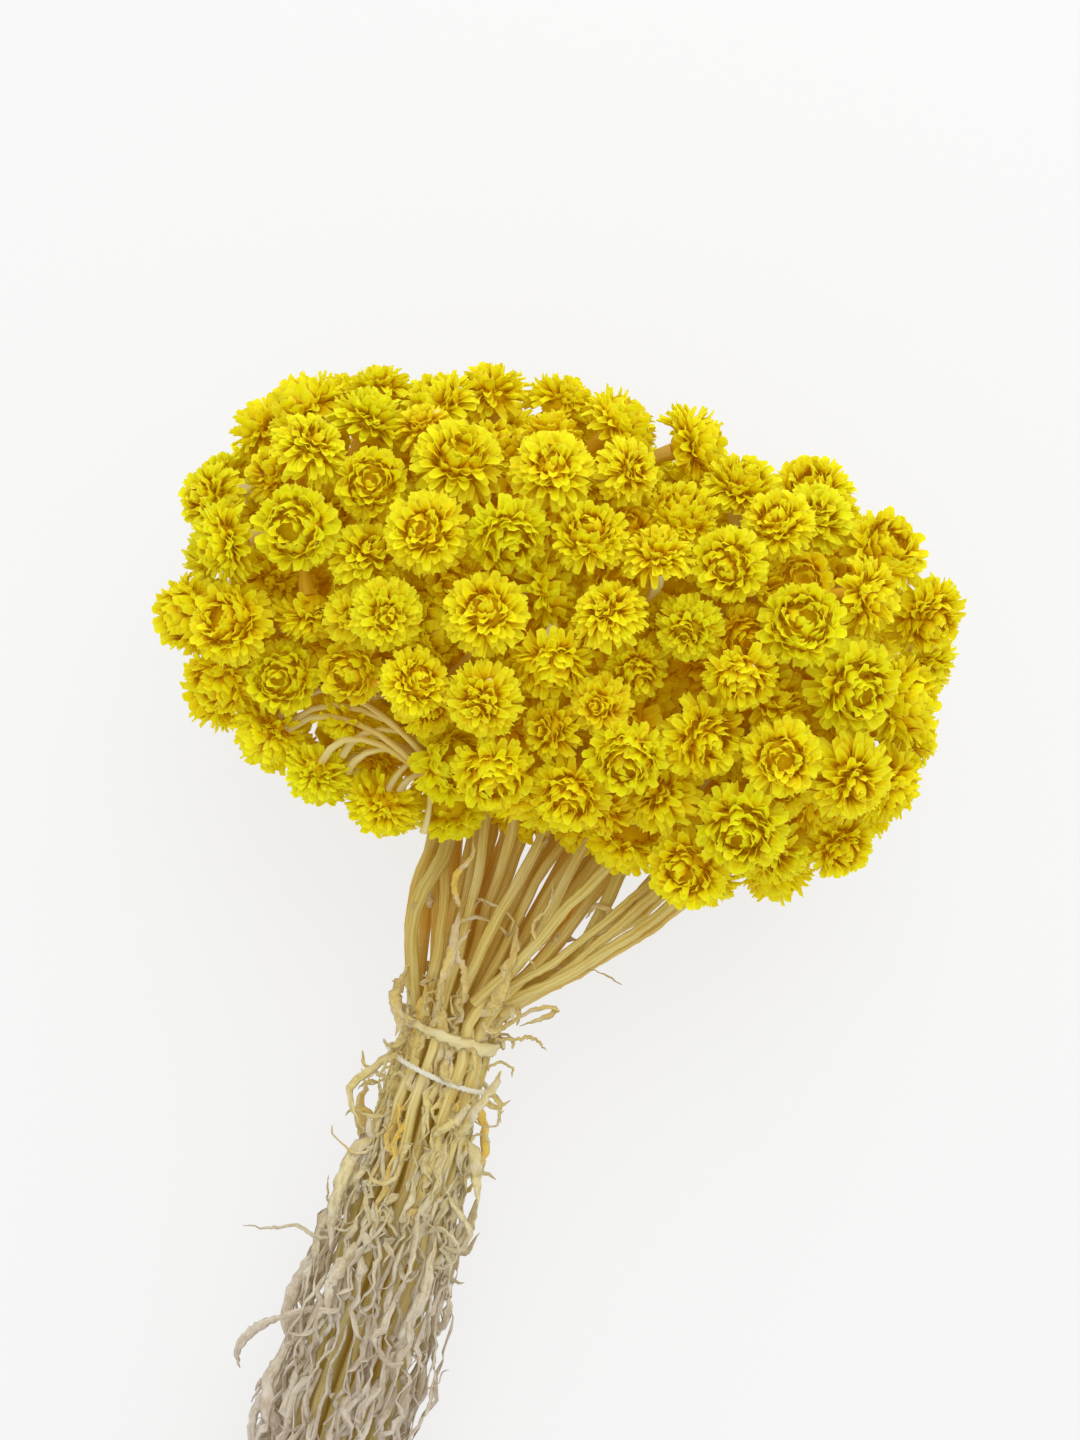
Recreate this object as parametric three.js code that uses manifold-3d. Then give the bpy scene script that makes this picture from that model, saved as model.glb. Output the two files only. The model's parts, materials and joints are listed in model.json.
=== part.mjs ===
// A tied bunch of dried curry plant lying on its side: leafy stems bound near the middle, each ending in a
// round cluster of papery button blooms. Millimetres, +Z up, +Y from the cut stem ends to the blooms.
import * as THREE from 'three';
import { ConvexHull } from 'three/addons/math/ConvexHull.js';
import { mergeVertices } from 'three/addons/utils/BufferGeometryUtils.js';
import Module from 'manifold-3d';

// Driving dimensions of the bunch
const CLEARANCE = 0.3;            // kept between any two pieces
const TABLE_HEIGHT = 1.2;         // what would lie below this is pressed flat
const TIE_HEIGHT = 22;            // height of the bundle's axis at the tie
const AXIS_RISE = 0.1;            // rise of that axis for each millimetre above the tie
const BUNDLE_RADIUS = 7;          // at the tie
const NECK_LENGTH = 8;            // above the tie, over which the bundle stays as narrow
const TIE_ACROSS = 0.19;          // a stem's place in the neck, as a share of its hub's place in the crown
const TIE_UP = 0.32;
const STEM_RADIUS = 0.95;
const STEM_SIDES = 5;
const TAIL_LENGTH = 120;          // from the tie to the cut ends
const TAIL_HEIGHT = 9.4;          // height of the bundle's axis at the cut ends
const TAIL_SPREAD = 1.3;          // how much looser the bundle is there
const TAIL_TWIST = 0.6;           // radians the bundle turns on its way there
const TAIL_DRIFT = -5;            // and its sideways drift
const TAIL_SHARES = [1, 0.7, 0.35];

// Shrivelled leaves: narrow ribbons that leave the outer stems and curl
const LEAF_COUNT = 46;
const LEAF_TRIES = 9000;
const LEAF_SEED = 7;
const LEAF_STEPS = 6;
const LEAF_LENGTHS = [15, 26];
const LEAF_HALF_WIDTHS = [0.5, 0.85, 1.1, 1.15, 1.05, 0.75];
const LEAF_THICKNESS = 0.7;
const LEAF_PLACES = [-112, 16];   // where along the bunch a leaf may start
const LEAF_TOP = 24;              // no leaf reaches further up than this
const LEAF_REACH = [11, 15];      // how far from the bundle's axis one may go, at the tie and the cut ends
const LEAF_ROOT_ANGLE = 1.1;      // radians from the stem, for the first step out of it
const LEAF_ROOT_STEP = 2.2;

// The two bindings
const CORD_RADIUS = 0.42;
const CORD_SIDES = 5;
const CORD_PLACE = -0.4;          // its middle, along the bunch
const CORD_SLANT = -0.16;         // rise along the bunch for each millimetre across
const STRIP_PLACE = 5.6;          // how far the leaf strip sits above the cord
const STRIP_SLANT = -0.09;
const STRIP_THICKNESS = 0.7;
const STRIP_WIDTH = 1.7;
const STRIP_FLARE = 0.3;          // how much wider it is on its right than on average
const RING_STEPS = 16;

// The crown: the rounded, flat-topped mass that the blooms fill, as a superellipsoid
const CROWN_CENTRE = new THREE.Vector3(0.5, 64, 30);
const CROWN_HALF = new THREE.Vector3(49.5, 28.5, 25);
const CROWN_LIMIT = new THREE.Vector3(50.5, 29.5, 26);    // no bloom's middle lies outside this one
const CROWN_POWER = 2.8;

// Open space that no bloom hangs in: where the stems come in, at the lower right, and over the
// drooping clusters at the lower left
const OPEN_SPACES = [
  { at: new THREE.Vector3(8, 22, 47), size: 17 },
  { at: new THREE.Vector3(47, 16, 30), size: 19 },
  { at: new THREE.Vector3(-19, 37, 54), size: 11 },
];

// One bloom and what carries it
const BLOOM_RADIUS = 5.3;
const BLOOM_TIPS = 5;             // bract tips in each of its two layers
const BLOOM_NECK = -0.66;         // heights on its axis and distances from it, as shares of its radius
const LOWER_TIPS = { out: 0.97, up: -0.1 };
const LOWER_DIPS = { out: 0.74, up: -0.34 };
const UPPER_TIPS = { out: 0.84, up: 0.36 };
const UPPER_DIPS = { out: 0.66, up: 0.56 };
const BLOOM_TOP = 0.82;
const BLOOM_TURN_OUT = 0.35;      // how far a bloom turns from its pedicel towards the crown's outside
const PEDICEL_LENGTH = 15;        // from the hub to a bloom's middle
const PEDICEL_RADIUS = 0.5;
const HUB_RADIUS = 2;
const SOCKET_RADIUS = 0.7;        // of the hub's flat face over the stem's end
const GOLDEN_ANGLE = Math.PI * (3 - Math.sqrt(5));

// The layout: stems, pedicels and blooms are round-ended rods that push one another apart
const LAYOUT_SEED = 29;
const FAN_POINTS = 6;             // points of a stem between the neck's top and its hub, both counted
const FAN_LIFT = 20;              // how far above the neck a stem still points along the bunch
const FAN_DRIFT = 5;              // and how far the fan leans to the right on its way
const HUB_BEND = 15;              // how far below its hub a stem already points outward
const START_CONE = 0.7;           // half angle of a cluster before its blooms grow to full size
const PASSES = 450;               // the last third only separates, with no pull back
const PASSES_PER_SEARCH = 12;     // between two searches for the pairs that are near
const PAIR_REACH = 5;             // a pair further apart than this is skipped until the next search
const START_SIZE = 0.3;           // share of their room that the rods take in the first pass
const GROWTH = 2.1;               // and how fast that share grows to the whole
const ROD_SPARE = 0.3;            // extra room sought between stems and pedicels
const BLOOM_SPARE = 0.05;
const ROD_FIRMNESS = 0.5;
const BLOOM_FIRMNESS = 0.15;
const HOME_PULL = 0.06;           // of a stem to the line it starts on
const SMOOTH_PULL = 0.04;
const PULL_FADE = 1.5;
const LENGTH_PULL = 0.3;          // of a bloom to its pedicel's length
const STEM_ROOM = 5.5;            // kept free round a stem's end by its own blooms
const FLOOR_SHARE = 0.86;         // how low a bloom's middle may lie, as a share of its radius
const GRID = 1e5;                 // steps in a millimetre that the layout is rounded to

// About where each flower cluster shows on the crown, [across, along, up], and its number of blooms
const CLUSTERS = [
  // round the edge of the crown, from the drooping lower left over the top to the lower right
  [-19, 37, 31, 7], [-36, 41, 29, 8], [-50, 56, 31, 8], [-48, 74, 29, 7],
  [-40, 89, 33, 8], [-20, 93, 29, 7], [-1, 93, 32, 7], [18, 93, 28, 7],
  [36, 89, 32, 7], [50, 75, 28, 7], [50, 59, 32, 8], [38, 47, 29, 7],
  // the side that faces up
  [-30, 53, 52, 7], [-33, 75, 52, 7], [-14, 67, 55, 7], [-12, 84, 53, 7], [-14, 51, 51, 6],
  [4, 58, 55, 7], [9, 79, 54, 6], [12, 52, 52, 6], [23, 67, 55, 7], [30, 82, 50, 6], [31, 54, 50, 7],
  // the side that lies on the table
  [-32, 64, 8, 8], [-11, 78, 6, 8], [-8, 54, 7, 7], [14, 68, 6, 8], [34, 66, 8, 7],
];

function seededRandom(seed) {
  let state = seed;
  return () => {
    state = (Math.imul(state, 1664525) + 1013904223) >>> 0;
    return state / 4294967296;
  };
}

// Moves a point along its ray from the crown's centre: onto a shell, or only back inside it
function toShell(point, half, onlyInward) {
  const from = point.clone().sub(CROWN_CENTRE);
  const reach = Math.pow(Math.abs(from.x) / half.x, CROWN_POWER)
    + Math.pow(Math.abs(from.y) / half.y, CROWN_POWER)
    + Math.pow(Math.abs(from.z) / half.z, CROWN_POWER);
  if (onlyInward && reach <= 1) return;
  point.copy(from.multiplyScalar(Math.pow(reach, -1 / CROWN_POWER)).add(CROWN_CENTRE));
}

function crownNormal(point) {
  const from = point.clone().sub(CROWN_CENTRE);
  const slope = (value, half) => (
    Math.sign(value) * Math.pow(Math.abs(value) / half, CROWN_POWER - 1) / half);
  return new THREE.Vector3(
    slope(from.x, CROWN_HALF.x), slope(from.y, CROWN_HALF.y), slope(from.z, CROWN_HALF.z)).normalize();
}

function sideways(direction) {
  const helper = Math.abs(direction.z) < 0.8 ? new THREE.Vector3(0, 0, 1) : new THREE.Vector3(1, 0, 0);
  const u = helper.cross(direction).normalize();
  return [u, direction.clone().cross(u)];
}

// The bundle's axis: straight above the tie, and coming down to the table with a drift below it
function axisAt(along) {
  if (along >= 0) return new THREE.Vector3(0, along, TIE_HEIGHT + AXIS_RISE * along);
  const share = -along / TAIL_LENGTH;
  const height = TIE_HEIGHT + (TAIL_HEIGHT - TIE_HEIGHT) * share;
  return new THREE.Vector3(TAIL_DRIFT * share * share, along, height);
}

function bezier(a, b, c, d, t) {
  const s = 1 - t;
  return a.clone().multiplyScalar(s * s * s).addScaledVector(b, 3 * s * s * t)
    .addScaledVector(c, 3 * s * t * t).addScaledVector(d, t * t * t);
}

// A stem's first line: straight out of the neck, then bending to come into its hub from inside the crown
function startStem(hub, normal) {
  const neck = axisAt(NECK_LENGTH);
  neck.x += TIE_ACROSS * (hub.x - 1);
  neck.z += TIE_UP * (hub.z - CROWN_CENTRE.z);
  const lifted = neck.clone().add(new THREE.Vector3(FAN_DRIFT, FAN_LIFT, AXIS_RISE * FAN_LIFT));
  const below = hub.clone().addScaledVector(normal, -HUB_BEND);
  below.x += FAN_DRIFT;
  const stem = [];
  for (let i = 0; i < FAN_POINTS - 1; i += 1) {
    stem.push(bezier(neck, lifted, below, hub, i / (FAN_POINTS - 1)));
  }
  return [...stem, hub];
}

// A cluster's first blooms: a narrow cone round the crown's normal, filled evenly by golden-angle turns
function startBlooms(hub, normal, count, random) {
  const [u, v] = sideways(normal);
  const spin = random() * 2 * Math.PI;
  const blooms = [];
  for (let i = 0; i < count; i += 1) {
    const polar = START_CONE * Math.sqrt((i + 0.4) / count);
    const turn = spin + i * GOLDEN_ANGLE;
    const length = PEDICEL_LENGTH * (0.9 + 0.2 * random());
    const radius = BLOOM_RADIUS * (0.86 + 0.24 * random());
    const middle = hub.clone().addScaledVector(normal, length * Math.cos(polar))
      .addScaledVector(u, length * Math.sin(polar) * Math.cos(turn))
      .addScaledVector(v, length * Math.sin(polar) * Math.sin(turn));
    blooms.push({ middle, length, radius });
  }
  return blooms;
}

function startClusters(random) {
  return CLUSTERS.map(([across, along, up, count]) => {
    const crown = new THREE.Vector3(across, along, up);
    toShell(crown, CROWN_HALF, false);
    const normal = crownNormal(crown);
    const hub = crown.addScaledVector(normal, -PEDICEL_LENGTH);
    const stem = startStem(hub, normal);
    const homes = stem.map((point) => point.clone());
    return { hub, stem, homes, blooms: startBlooms(hub, normal, count, random) };
  });
}

// Every rod has two ends, which are shared points of the layout, a radius and a push on each end
function rodsOf(clusters) {
  const rods = [];
  clusters.forEach((cluster, group) => {
    const { hub, stem, blooms } = cluster;
    for (let i = 0; i + 1 < stem.length; i += 1) {
      rods.push({ a: stem[i], b: stem[i + 1], radius: STEM_RADIUS, group, stem: true });
    }
    rods.push({ a: hub, b: hub, radius: HUB_RADIUS, group });
    for (const bloom of blooms) {
      rods.push({ a: hub, b: bloom.middle, radius: PEDICEL_RADIUS, group });
      rods.push({ a: bloom.middle, b: bloom.middle, radius: bloom.radius, group, bloom });
    }
  });
  return rods;
}

const clamp01 = (value) => Math.min(1, Math.max(0, value));
const along1 = new THREE.Vector3();
const along2 = new THREE.Vector3();
const offset = new THREE.Vector3();
const apart = new THREE.Vector3();

// Nearest points of two rods as shares s and t of their lengths; apart runs from the first to the second
function nearest(first, second) {
  along1.subVectors(first.b, first.a);
  along2.subVectors(second.b, second.a);
  offset.subVectors(first.a, second.a);
  const a = along1.lengthSq();
  const e = along2.lengthSq();
  const c = along1.dot(offset);
  const f = along2.dot(offset);
  const b = along1.dot(along2);
  let s = 0;
  let t = 0;
  if (a > 1e-9 && e > 1e-9) {
    const spread = a * e - b * b;
    if (spread > 1e-9) s = clamp01((b * f - c * e) / spread);
    t = (b * s + f) / e;
    if (t < 0 || t > 1) {
      t = clamp01(t);
      s = clamp01((b * t - c) / a);
    }
  } else if (a > 1e-9) {
    s = clamp01(-c / a);
  } else if (e > 1e-9) {
    t = clamp01(f / e);
  }
  apart.copy(along2).multiplyScalar(t).addScaledVector(along1, -s).sub(offset);
  return [s, t, apart.length()];
}

function sharesEnd(first, second) {
  if (first.group !== second.group) return false;
  if (first.stem && second.stem) return true;
  return first.a === second.a || first.a === second.b || first.b === second.a || first.b === second.b;
}

function nearPairs(rods) {
  const pairs = [];
  for (let i = 0; i < rods.length; i += 1) {
    for (let j = i + 1; j < rods.length; j += 1) {
      if (sharesEnd(rods[i], rods[j])) continue;
      const distance = nearest(rods[i], rods[j])[2];
      if (distance < rods[i].radius + rods[j].radius + PAIR_REACH) pairs.push([rods[i], rods[j]]);
    }
  }
  return pairs;
}

function pushApart(pairs, push, grown) {
  for (const [first, second] of pairs) {
    const soft = first.bloom || second.bloom;
    const ownStem = soft && first.stem && first.group === second.group;
    const spare = soft ? BLOOM_SPARE : ROD_SPARE;
    const need = grown * (first.radius + second.radius + CLEARANCE + (ownStem ? STEM_ROOM : spare));
    const [s, t, distance] = nearest(first, second);
    if (distance >= need || distance < 1e-6) continue;
    const firmness = soft ? BLOOM_FIRMNESS : ROD_FIRMNESS;
    const size = (firmness * (need - distance)) / distance;
    push.get(first.a).addScaledVector(apart, -size * (1 - s));
    push.get(first.b).addScaledVector(apart, -size * s);
    push.get(second.a).addScaledVector(apart, size * (1 - t));
    push.get(second.b).addScaledVector(apart, size * t);
  }
}

// Stems are drawn back to their first line and kept smooth, blooms to their pedicel's length
function holdShape(cluster, push, hold) {
  const { hub, stem, homes, blooms } = cluster;
  for (let i = 1; i < stem.length; i += 1) {
    push.get(stem[i]).addScaledVector(offset.subVectors(homes[i], stem[i]), HOME_PULL * hold);
    if (i + 1 === stem.length) continue;
    offset.addVectors(stem[i - 1], stem[i + 1]).multiplyScalar(0.5).sub(stem[i]);
    push.get(stem[i]).addScaledVector(offset, SMOOTH_PULL * hold);
  }
  for (const { middle, length } of blooms) {
    offset.subVectors(middle, hub);
    const stretch = LENGTH_PULL * (length - offset.length());
    push.get(middle).addScaledVector(offset.normalize(), stretch);
  }
}

function keepInBounds(cluster) {
  const { stem, blooms } = cluster;
  const neck = stem[0];
  const middleOfNeck = axisAt(NECK_LENGTH);
  offset.set(neck.x, 0, neck.z - middleOfNeck.z);
  const limit = BUNDLE_RADIUS - STEM_RADIUS;
  if (offset.length() > limit) offset.setLength(limit);
  neck.copy(middleOfNeck).add(offset);
  for (const { middle, radius } of blooms) {
    toShell(middle, CROWN_LIMIT, true);
    for (const { at, size } of OPEN_SPACES) {
      offset.subVectors(middle, at);
      if (offset.length() < size + radius) middle.copy(at).add(offset.setLength(size + radius));
    }
    middle.z = Math.max(middle.z, FLOOR_SHARE * radius);
  }
}

// What the pushing leaves too near is settled by the size of the blooms
function shrinkToFit(rods) {
  const room = new Map(rods.filter((rod) => rod.bloom).map((rod) => [rod, rod.radius]));
  for (const [rod, radius] of room) {
    for (const other of rods) {
      if (other === rod || sharesEnd(rod, other)) continue;
      const free = nearest(rod, other)[2] - CLEARANCE;
      const own = other.bloom ? (free * radius) / (radius + other.radius) : free - other.radius;
      room.set(rod, Math.min(room.get(rod), own));
    }
  }
  for (const [rod, radius] of room) {
    rod.radius = radius;
    rod.bloom.radius = radius;
  }
}

// Rounding after each pass gives every computer the same layout, last digits and all
function roundOff(point) {
  point.set(...point.toArray().map((value) => Math.round(value * GRID) / GRID));
}

function layOut() {
  const clusters = startClusters(seededRandom(LAYOUT_SEED));
  const rods = rodsOf(clusters);
  const push = new Map();
  for (const { a, b } of rods) {
    push.set(a, new THREE.Vector3());
    push.set(b, new THREE.Vector3());
  }
  let pairs = [];
  for (let pass = 0; pass < PASSES; pass += 1) {
    if (pass % PASSES_PER_SEARCH === 0) pairs = nearPairs(rods);
    pushApart(pairs, push, Math.min(1, START_SIZE + (GROWTH * pass) / PASSES));
    const hold = Math.max(0, 1 - (PULL_FADE * pass) / PASSES);
    clusters.forEach((cluster) => holdShape(cluster, push, hold));
    for (const [point, shift] of push) {
      point.add(shift);
      shift.set(0, 0, 0);
    }
    clusters.forEach(keepInBounds);
    for (const point of push.keys()) roundOff(point);
  }
  shrinkToFit(rods);
  return { clusters, rods };
}

// Solids are built from rings of points; a ring is a row of places in its body's list of points
function newBody() {
  return { points: [], faces: [] };
}

function addRing(body, centre, axis, u, radii, heights) {
  const v = axis.clone().cross(u);
  return radii.map((radius, i) => {
    const angle = (i * 2 * Math.PI) / radii.length;
    const point = centre.clone().addScaledVector(axis, heights[i])
      .addScaledVector(u, radius * Math.cos(angle)).addScaledVector(v, radius * Math.sin(angle));
    return body.points.push(point) - 1;
  });
}

function evenRing(body, centre, axis, u, radius, sides) {
  return addRing(body, centre, axis, u, Array(sides).fill(radius), Array(sides).fill(0));
}

function joinRings(body, low, high) {
  const n = low.length;
  for (let i = 0; i < n; i += 1) {
    const j = (i + 1) % n;
    body.faces.push([low[i], low[j], high[j]], [low[i], high[j], high[i]]);
  }
}

// From a ring to one of twice as many points, whose even points stand over the ring's own
function widenRing(body, low, high) {
  const n = low.length;
  for (let i = 0; i < n; i += 1) {
    const j = (i + 1) % n;
    const [a, b, c] = [high[2 * i], high[2 * i + 1], high[(2 * i + 2) % (2 * n)]];
    body.faces.push([low[i], low[j], b], [low[i], b, a], [low[j], c, b]);
  }
}

function closeRing(body, ring, tip, upward) {
  const n = ring.length;
  for (let i = 0; i < n; i += 1) {
    const j = (i + 1) % n;
    body.faces.push(upward ? [ring[i], ring[j], tip] : [ring[j], ring[i], tip]);
  }
}

function capRing(body, ring, upward) {
  for (let i = 1; i + 1 < ring.length; i += 1) {
    body.faces.push(upward ? [ring[0], ring[i], ring[i + 1]] : [ring[0], ring[i + 1], ring[i]]);
  }
}

function carry(u, axis) {
  return u.clone().addScaledVector(axis, -u.dot(axis)).normalize();
}

// One bloom: two layers of pointed bracts under a blunt top, all inside its own ball.
// The upper layer's tips stand over the dips between the lower ones.
function addBloom(body, bloom, u, root) {
  const { middle, radius, axis } = bloom;
  const across = carry(u, axis);
  const layer = (even, odd) => {
    const turns = Array.from({ length: 2 * BLOOM_TIPS }, (_, i) => (i % 2 ? odd : even));
    const outs = turns.map(({ out }) => radius * out);
    return addRing(body, middle, axis, across, outs, turns.map(({ up }) => radius * up));
  };
  const base = middle.clone().addScaledVector(axis, BLOOM_NECK * radius);
  const neck = evenRing(body, base, axis, across, 1.5 * PEDICEL_RADIUS, BLOOM_TIPS);
  const lower = layer(LOWER_TIPS, LOWER_DIPS);
  const upper = layer(UPPER_DIPS, UPPER_TIPS);
  const top = body.points.push(middle.clone().addScaledVector(axis, BLOOM_TOP * radius)) - 1;
  joinRings(body, root, neck);
  widenRing(body, neck, lower);
  joinRings(body, lower, upper);
  closeRing(body, upper, top, true);
}

// A cluster is one body: its hub is the hull of the rings its pedicels grow from
function clusterBody({ hub, stem, blooms }) {
  const body = newBody();
  const growRing = (direction, radius) => {
    const height = Math.sqrt(HUB_RADIUS * HUB_RADIUS - radius * radius);
    const centre = hub.clone().addScaledVector(direction, height);
    const u = sideways(direction)[0];
    return { u, ring: evenRing(body, centre, direction, u, radius, BLOOM_TIPS) };
  };
  const socket = stem[stem.length - 2].clone().sub(hub).normalize();
  growRing(socket, SOCKET_RADIUS);
  const ways = blooms.map((bloom) => bloom.middle.clone().sub(hub).normalize());
  const angles = ways.flatMap((way, i) => ways.slice(i + 1).map((other) => way.angleTo(other)));
  const root = Math.min(0.95 * PEDICEL_RADIUS, HUB_RADIUS * Math.sin(0.46 * Math.min(...angles)));
  const grown = ways.map((way) => growRing(way, root));
  // A ring's points share a plane, so the hull is sought on points that are lifted a hair apart.
  // It is open where a pedicel goes on, and closed over the stem's end, which is ring 0.
  const lifted = body.points.map((point, i) => {
    const lift = 1 + 0.0002 * ((i * 7) % BLOOM_TIPS);
    return point.clone().sub(hub).multiplyScalar(lift);
  });
  const owner = new Map(lifted.map((point, i) => [point, i]));
  const ringOf = body.points.map((_, i) => Math.floor(i / BLOOM_TIPS));
  const hull = new ConvexHull().setFromPoints(lifted);
  for (const face of hull.faces) {
    const corners = [0, 1, 2].map((k) => owner.get(face.getEdge(k).head().point));
    const sameRing = corners.every((corner) => ringOf[corner] === ringOf[corners[0]]);
    if (!sameRing || ringOf[corners[0]] === 0) body.faces.push(corners);
  }
  blooms.forEach((bloom, i) => addBloom(body, bloom, grown[i].u, grown[i].ring));
  return body;
}

function tubeBody(path, radius, sides) {
  const body = newBody();
  let u = null;
  let last = null;
  path.forEach((point, i) => {
    const before = path[Math.max(0, i - 1)];
    const after = path[Math.min(path.length - 1, i + 1)];
    const axis = after.clone().sub(before).normalize();
    u = carry(u || new THREE.Vector3(0, 0, 1), axis);
    const ring = evenRing(body, point, axis, u, radius, sides);
    if (last) joinRings(body, last, ring);
    else capRing(body, ring, false);
    last = ring;
  });
  capRing(body, last, true);
  return body;
}

// Below the tie the stems turn about that axis and come a little loose
function tailPoint(tie, share) {
  const angle = TAIL_TWIST * share;
  const loosen = 1 + (TAIL_SPREAD - 1) * share;
  const x = tie.x * loosen;
  const z = (tie.z - TIE_HEIGHT) * loosen;
  const turned = new THREE.Vector3(
    x * Math.cos(angle) - z * Math.sin(angle), 0, x * Math.sin(angle) + z * Math.cos(angle));
  return turned.add(axisAt(-TAIL_LENGTH * share));
}

function stemPath({ hub, stem }) {
  const tie = stem[0].clone().sub(axisAt(NECK_LENGTH)).add(axisAt(0));
  const path = TAIL_SHARES.map((share) => tailPoint(tie, share));
  path.push(tie, ...stem.slice(0, -1).map((point) => point.clone()));
  const below = stem[stem.length - 2];
  const end = Math.sqrt(HUB_RADIUS * HUB_RADIUS - SOCKET_RADIUS * SOCKET_RADIUS) + CLEARANCE;
  path.push(hub.clone().addScaledVector(below.clone().sub(hub).normalize(), end));
  return path;
}

// A binding: a closed ring round the bundle, its section a small polygon [outward, along] at every step
function ringBody(reach, sectionAt, placeAt) {
  const body = newBody();
  const sections = Array.from({ length: RING_STEPS }, (_, i) => {
    const angle = (i * 2 * Math.PI) / RING_STEPS;
    const out = new THREE.Vector3(Math.cos(angle), 0, Math.sin(angle));
    return sectionAt(out).map(([outward, along]) => {
      const point = out.clone().multiplyScalar(reach + outward);
      const place = placeAt(point.x) + along;
      return body.points.push(point.add(new THREE.Vector3(0, place, TIE_HEIGHT + AXIS_RISE * place))) - 1;
    });
  });
  sections.forEach((section, i) => joinRings(body, section, sections[(i + 1) % RING_STEPS]));
  return body;
}

// The furthest that any stem's side stands from the bundle's axis between two places along it
function bundleReach(paths, from, to) {
  let reach = 0;
  for (const path of paths) {
    for (let i = 0; i + 1 < path.length; i += 1) {
      for (let k = 0; k <= 8; k += 1) {
        const point = path[i].clone().lerp(path[i + 1], k / 8);
        if (point.y < from || point.y > to) continue;
        reach = Math.max(reach, point.distanceTo(axisAt(point.y)));
      }
    }
  }
  return reach + STEM_RADIUS;
}

function cordSection() {
  return Array.from({ length: CORD_SIDES }, (_, i) => {
    const angle = (i * 2 * Math.PI) / CORD_SIDES;
    return [CORD_RADIUS * Math.cos(angle), CORD_RADIUS * Math.sin(angle)];
  });
}

function stripSection(out) {
  const wide = 0.5 * STRIP_WIDTH * (1 + STRIP_FLARE * out.x);
  const thick = 0.5 * STRIP_THICKNESS;
  return [[-thick, -wide], [thick, -0.8 * wide], [thick, 0.9 * wide], [-thick, wide]];
}

// A leaf's line: out from its stem's axis, along the bunch, then curling more and more
function leafPath(start, outward, random) {
  const forward = new THREE.Vector3(0, random() < 0.45 ? -1 : 1, 0);
  const step = (LEAF_LENGTHS[0] + (LEAF_LENGTHS[1] - LEAF_LENGTHS[0]) * random()) / LEAF_STEPS;
  const tilt = 0.25 + 0.45 * random();
  const curl = (random() < 0.5 ? -0.75 : 0.62) * (0.5 + 0.7 * random());
  const lean = (random() - 0.5) * 0.7;
  const side = forward.clone().cross(outward).normalize();
  const path = [start.clone()];
  for (let i = 0; i < LEAF_STEPS; i += 1) {
    const angle = i === 0 ? LEAF_ROOT_ANGLE : tilt + 0.5 * curl * (i - 1);
    const way = forward.clone().multiplyScalar(Math.cos(angle)).addScaledVector(outward, Math.sin(angle))
      .addScaledVector(side, lean * Math.sin(i));
    path.push(path[i].clone().addScaledVector(way.normalize(), i === 0 ? LEAF_ROOT_STEP : step));
  }
  return path;
}

function leafBody(path, twist) {
  const body = newBody();
  let across = null;
  let last = null;
  for (let i = 0; i < LEAF_STEPS; i += 1) {
    const axis = path[i + 1].clone().sub(path[Math.max(0, i - 1)]).normalize();
    across = carry(across || new THREE.Vector3(0.3, 0.1, 1).cross(axis), axis);
    const up = axis.clone().cross(across);
    const turn = twist * i;
    const side = across.clone().multiplyScalar(Math.cos(turn)).addScaledVector(up, Math.sin(turn));
    const face = axis.clone().cross(side);
    const half = LEAF_HALF_WIDTHS[i];
    const ring = [[half, -0.3], [0, 0.7], [-half, -0.3]].map(([wide, high]) => body.points.push(
      path[i].clone().addScaledVector(side, wide).addScaledVector(face, high * LEAF_THICKNESS)) - 1);
    if (last) joinRings(body, last, ring);
    else body.faces.push([ring[2], ring[1], ring[0]]);
    last = ring;
  }
  closeRing(body, last, body.points.push(path[LEAF_STEPS].clone()) - 1, true);
  return body;
}

function leafRods(path, group) {
  return path.slice(1).map((end, i) => {
    const radius = Math.max(LEAF_HALF_WIDTHS[i], LEAF_HALF_WIDTHS[i + 1] || 0);
    return { a: path[i], b: end, group, radius };
  });
}

function pointAlong(path, along) {
  const k = path.findIndex((point) => point.y > along);
  return path[k - 1].clone().lerp(path[k], (along - path[k - 1].y) / (path[k].y - path[k - 1].y));
}

// Leaves are tried at random places; one that comes near another piece is left out
function growLeaves(paths, solids, random) {
  const leaves = paths.map(() => []);
  let grown = 0;
  for (let attempt = 0; attempt < LEAF_TRIES && grown < LEAF_COUNT; attempt += 1) {
    const group = Math.floor(random() * paths.length);
    const along = LEAF_PLACES[0] + (LEAF_PLACES[1] - LEAF_PLACES[0]) * random();
    const swing = 0.8 * (random() - 0.5);
    const twist = 0.6 * (random() - 0.5);
    const start = pointAlong(paths[group], along);
    const out = start.clone().sub(axisAt(start.y));
    const around = Math.atan2(out.z, out.x) + swing;
    const path = leafPath(start, new THREE.Vector3(Math.cos(around), 0, Math.sin(around)), random);
    const rods = leafRods(path, group);
    if (!rods.every((rod, i) => hasRoom(rod, i, solids))) continue;
    solids.push(...rods);
    leaves[group].push(leafBody(path, twist));
    grown += 1;
  }
  return leaves;
}

function hasRoom(rod, step, solids) {
  if (Math.min(rod.a.z, rod.b.z) < rod.radius + TABLE_HEIGHT) return false;
  if (Math.min(rod.a.y, rod.b.y) < -TAIL_LENGTH || Math.max(rod.a.y, rod.b.y) > LEAF_TOP) return false;
  const reach = LEAF_REACH[0] + (LEAF_REACH[1] - LEAF_REACH[0]) * clamp01(-rod.b.y / TAIL_LENGTH);
  if (rod.b.distanceTo(axisAt(rod.b.y)) > reach) return false;
  return solids.every((other) => {
    const rootsThere = other.group === rod.group && step < 2;
    return rootsThere || nearest(rod, other)[2] > rod.radius + other.radius + CLEARANCE;
  });
}

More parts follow.
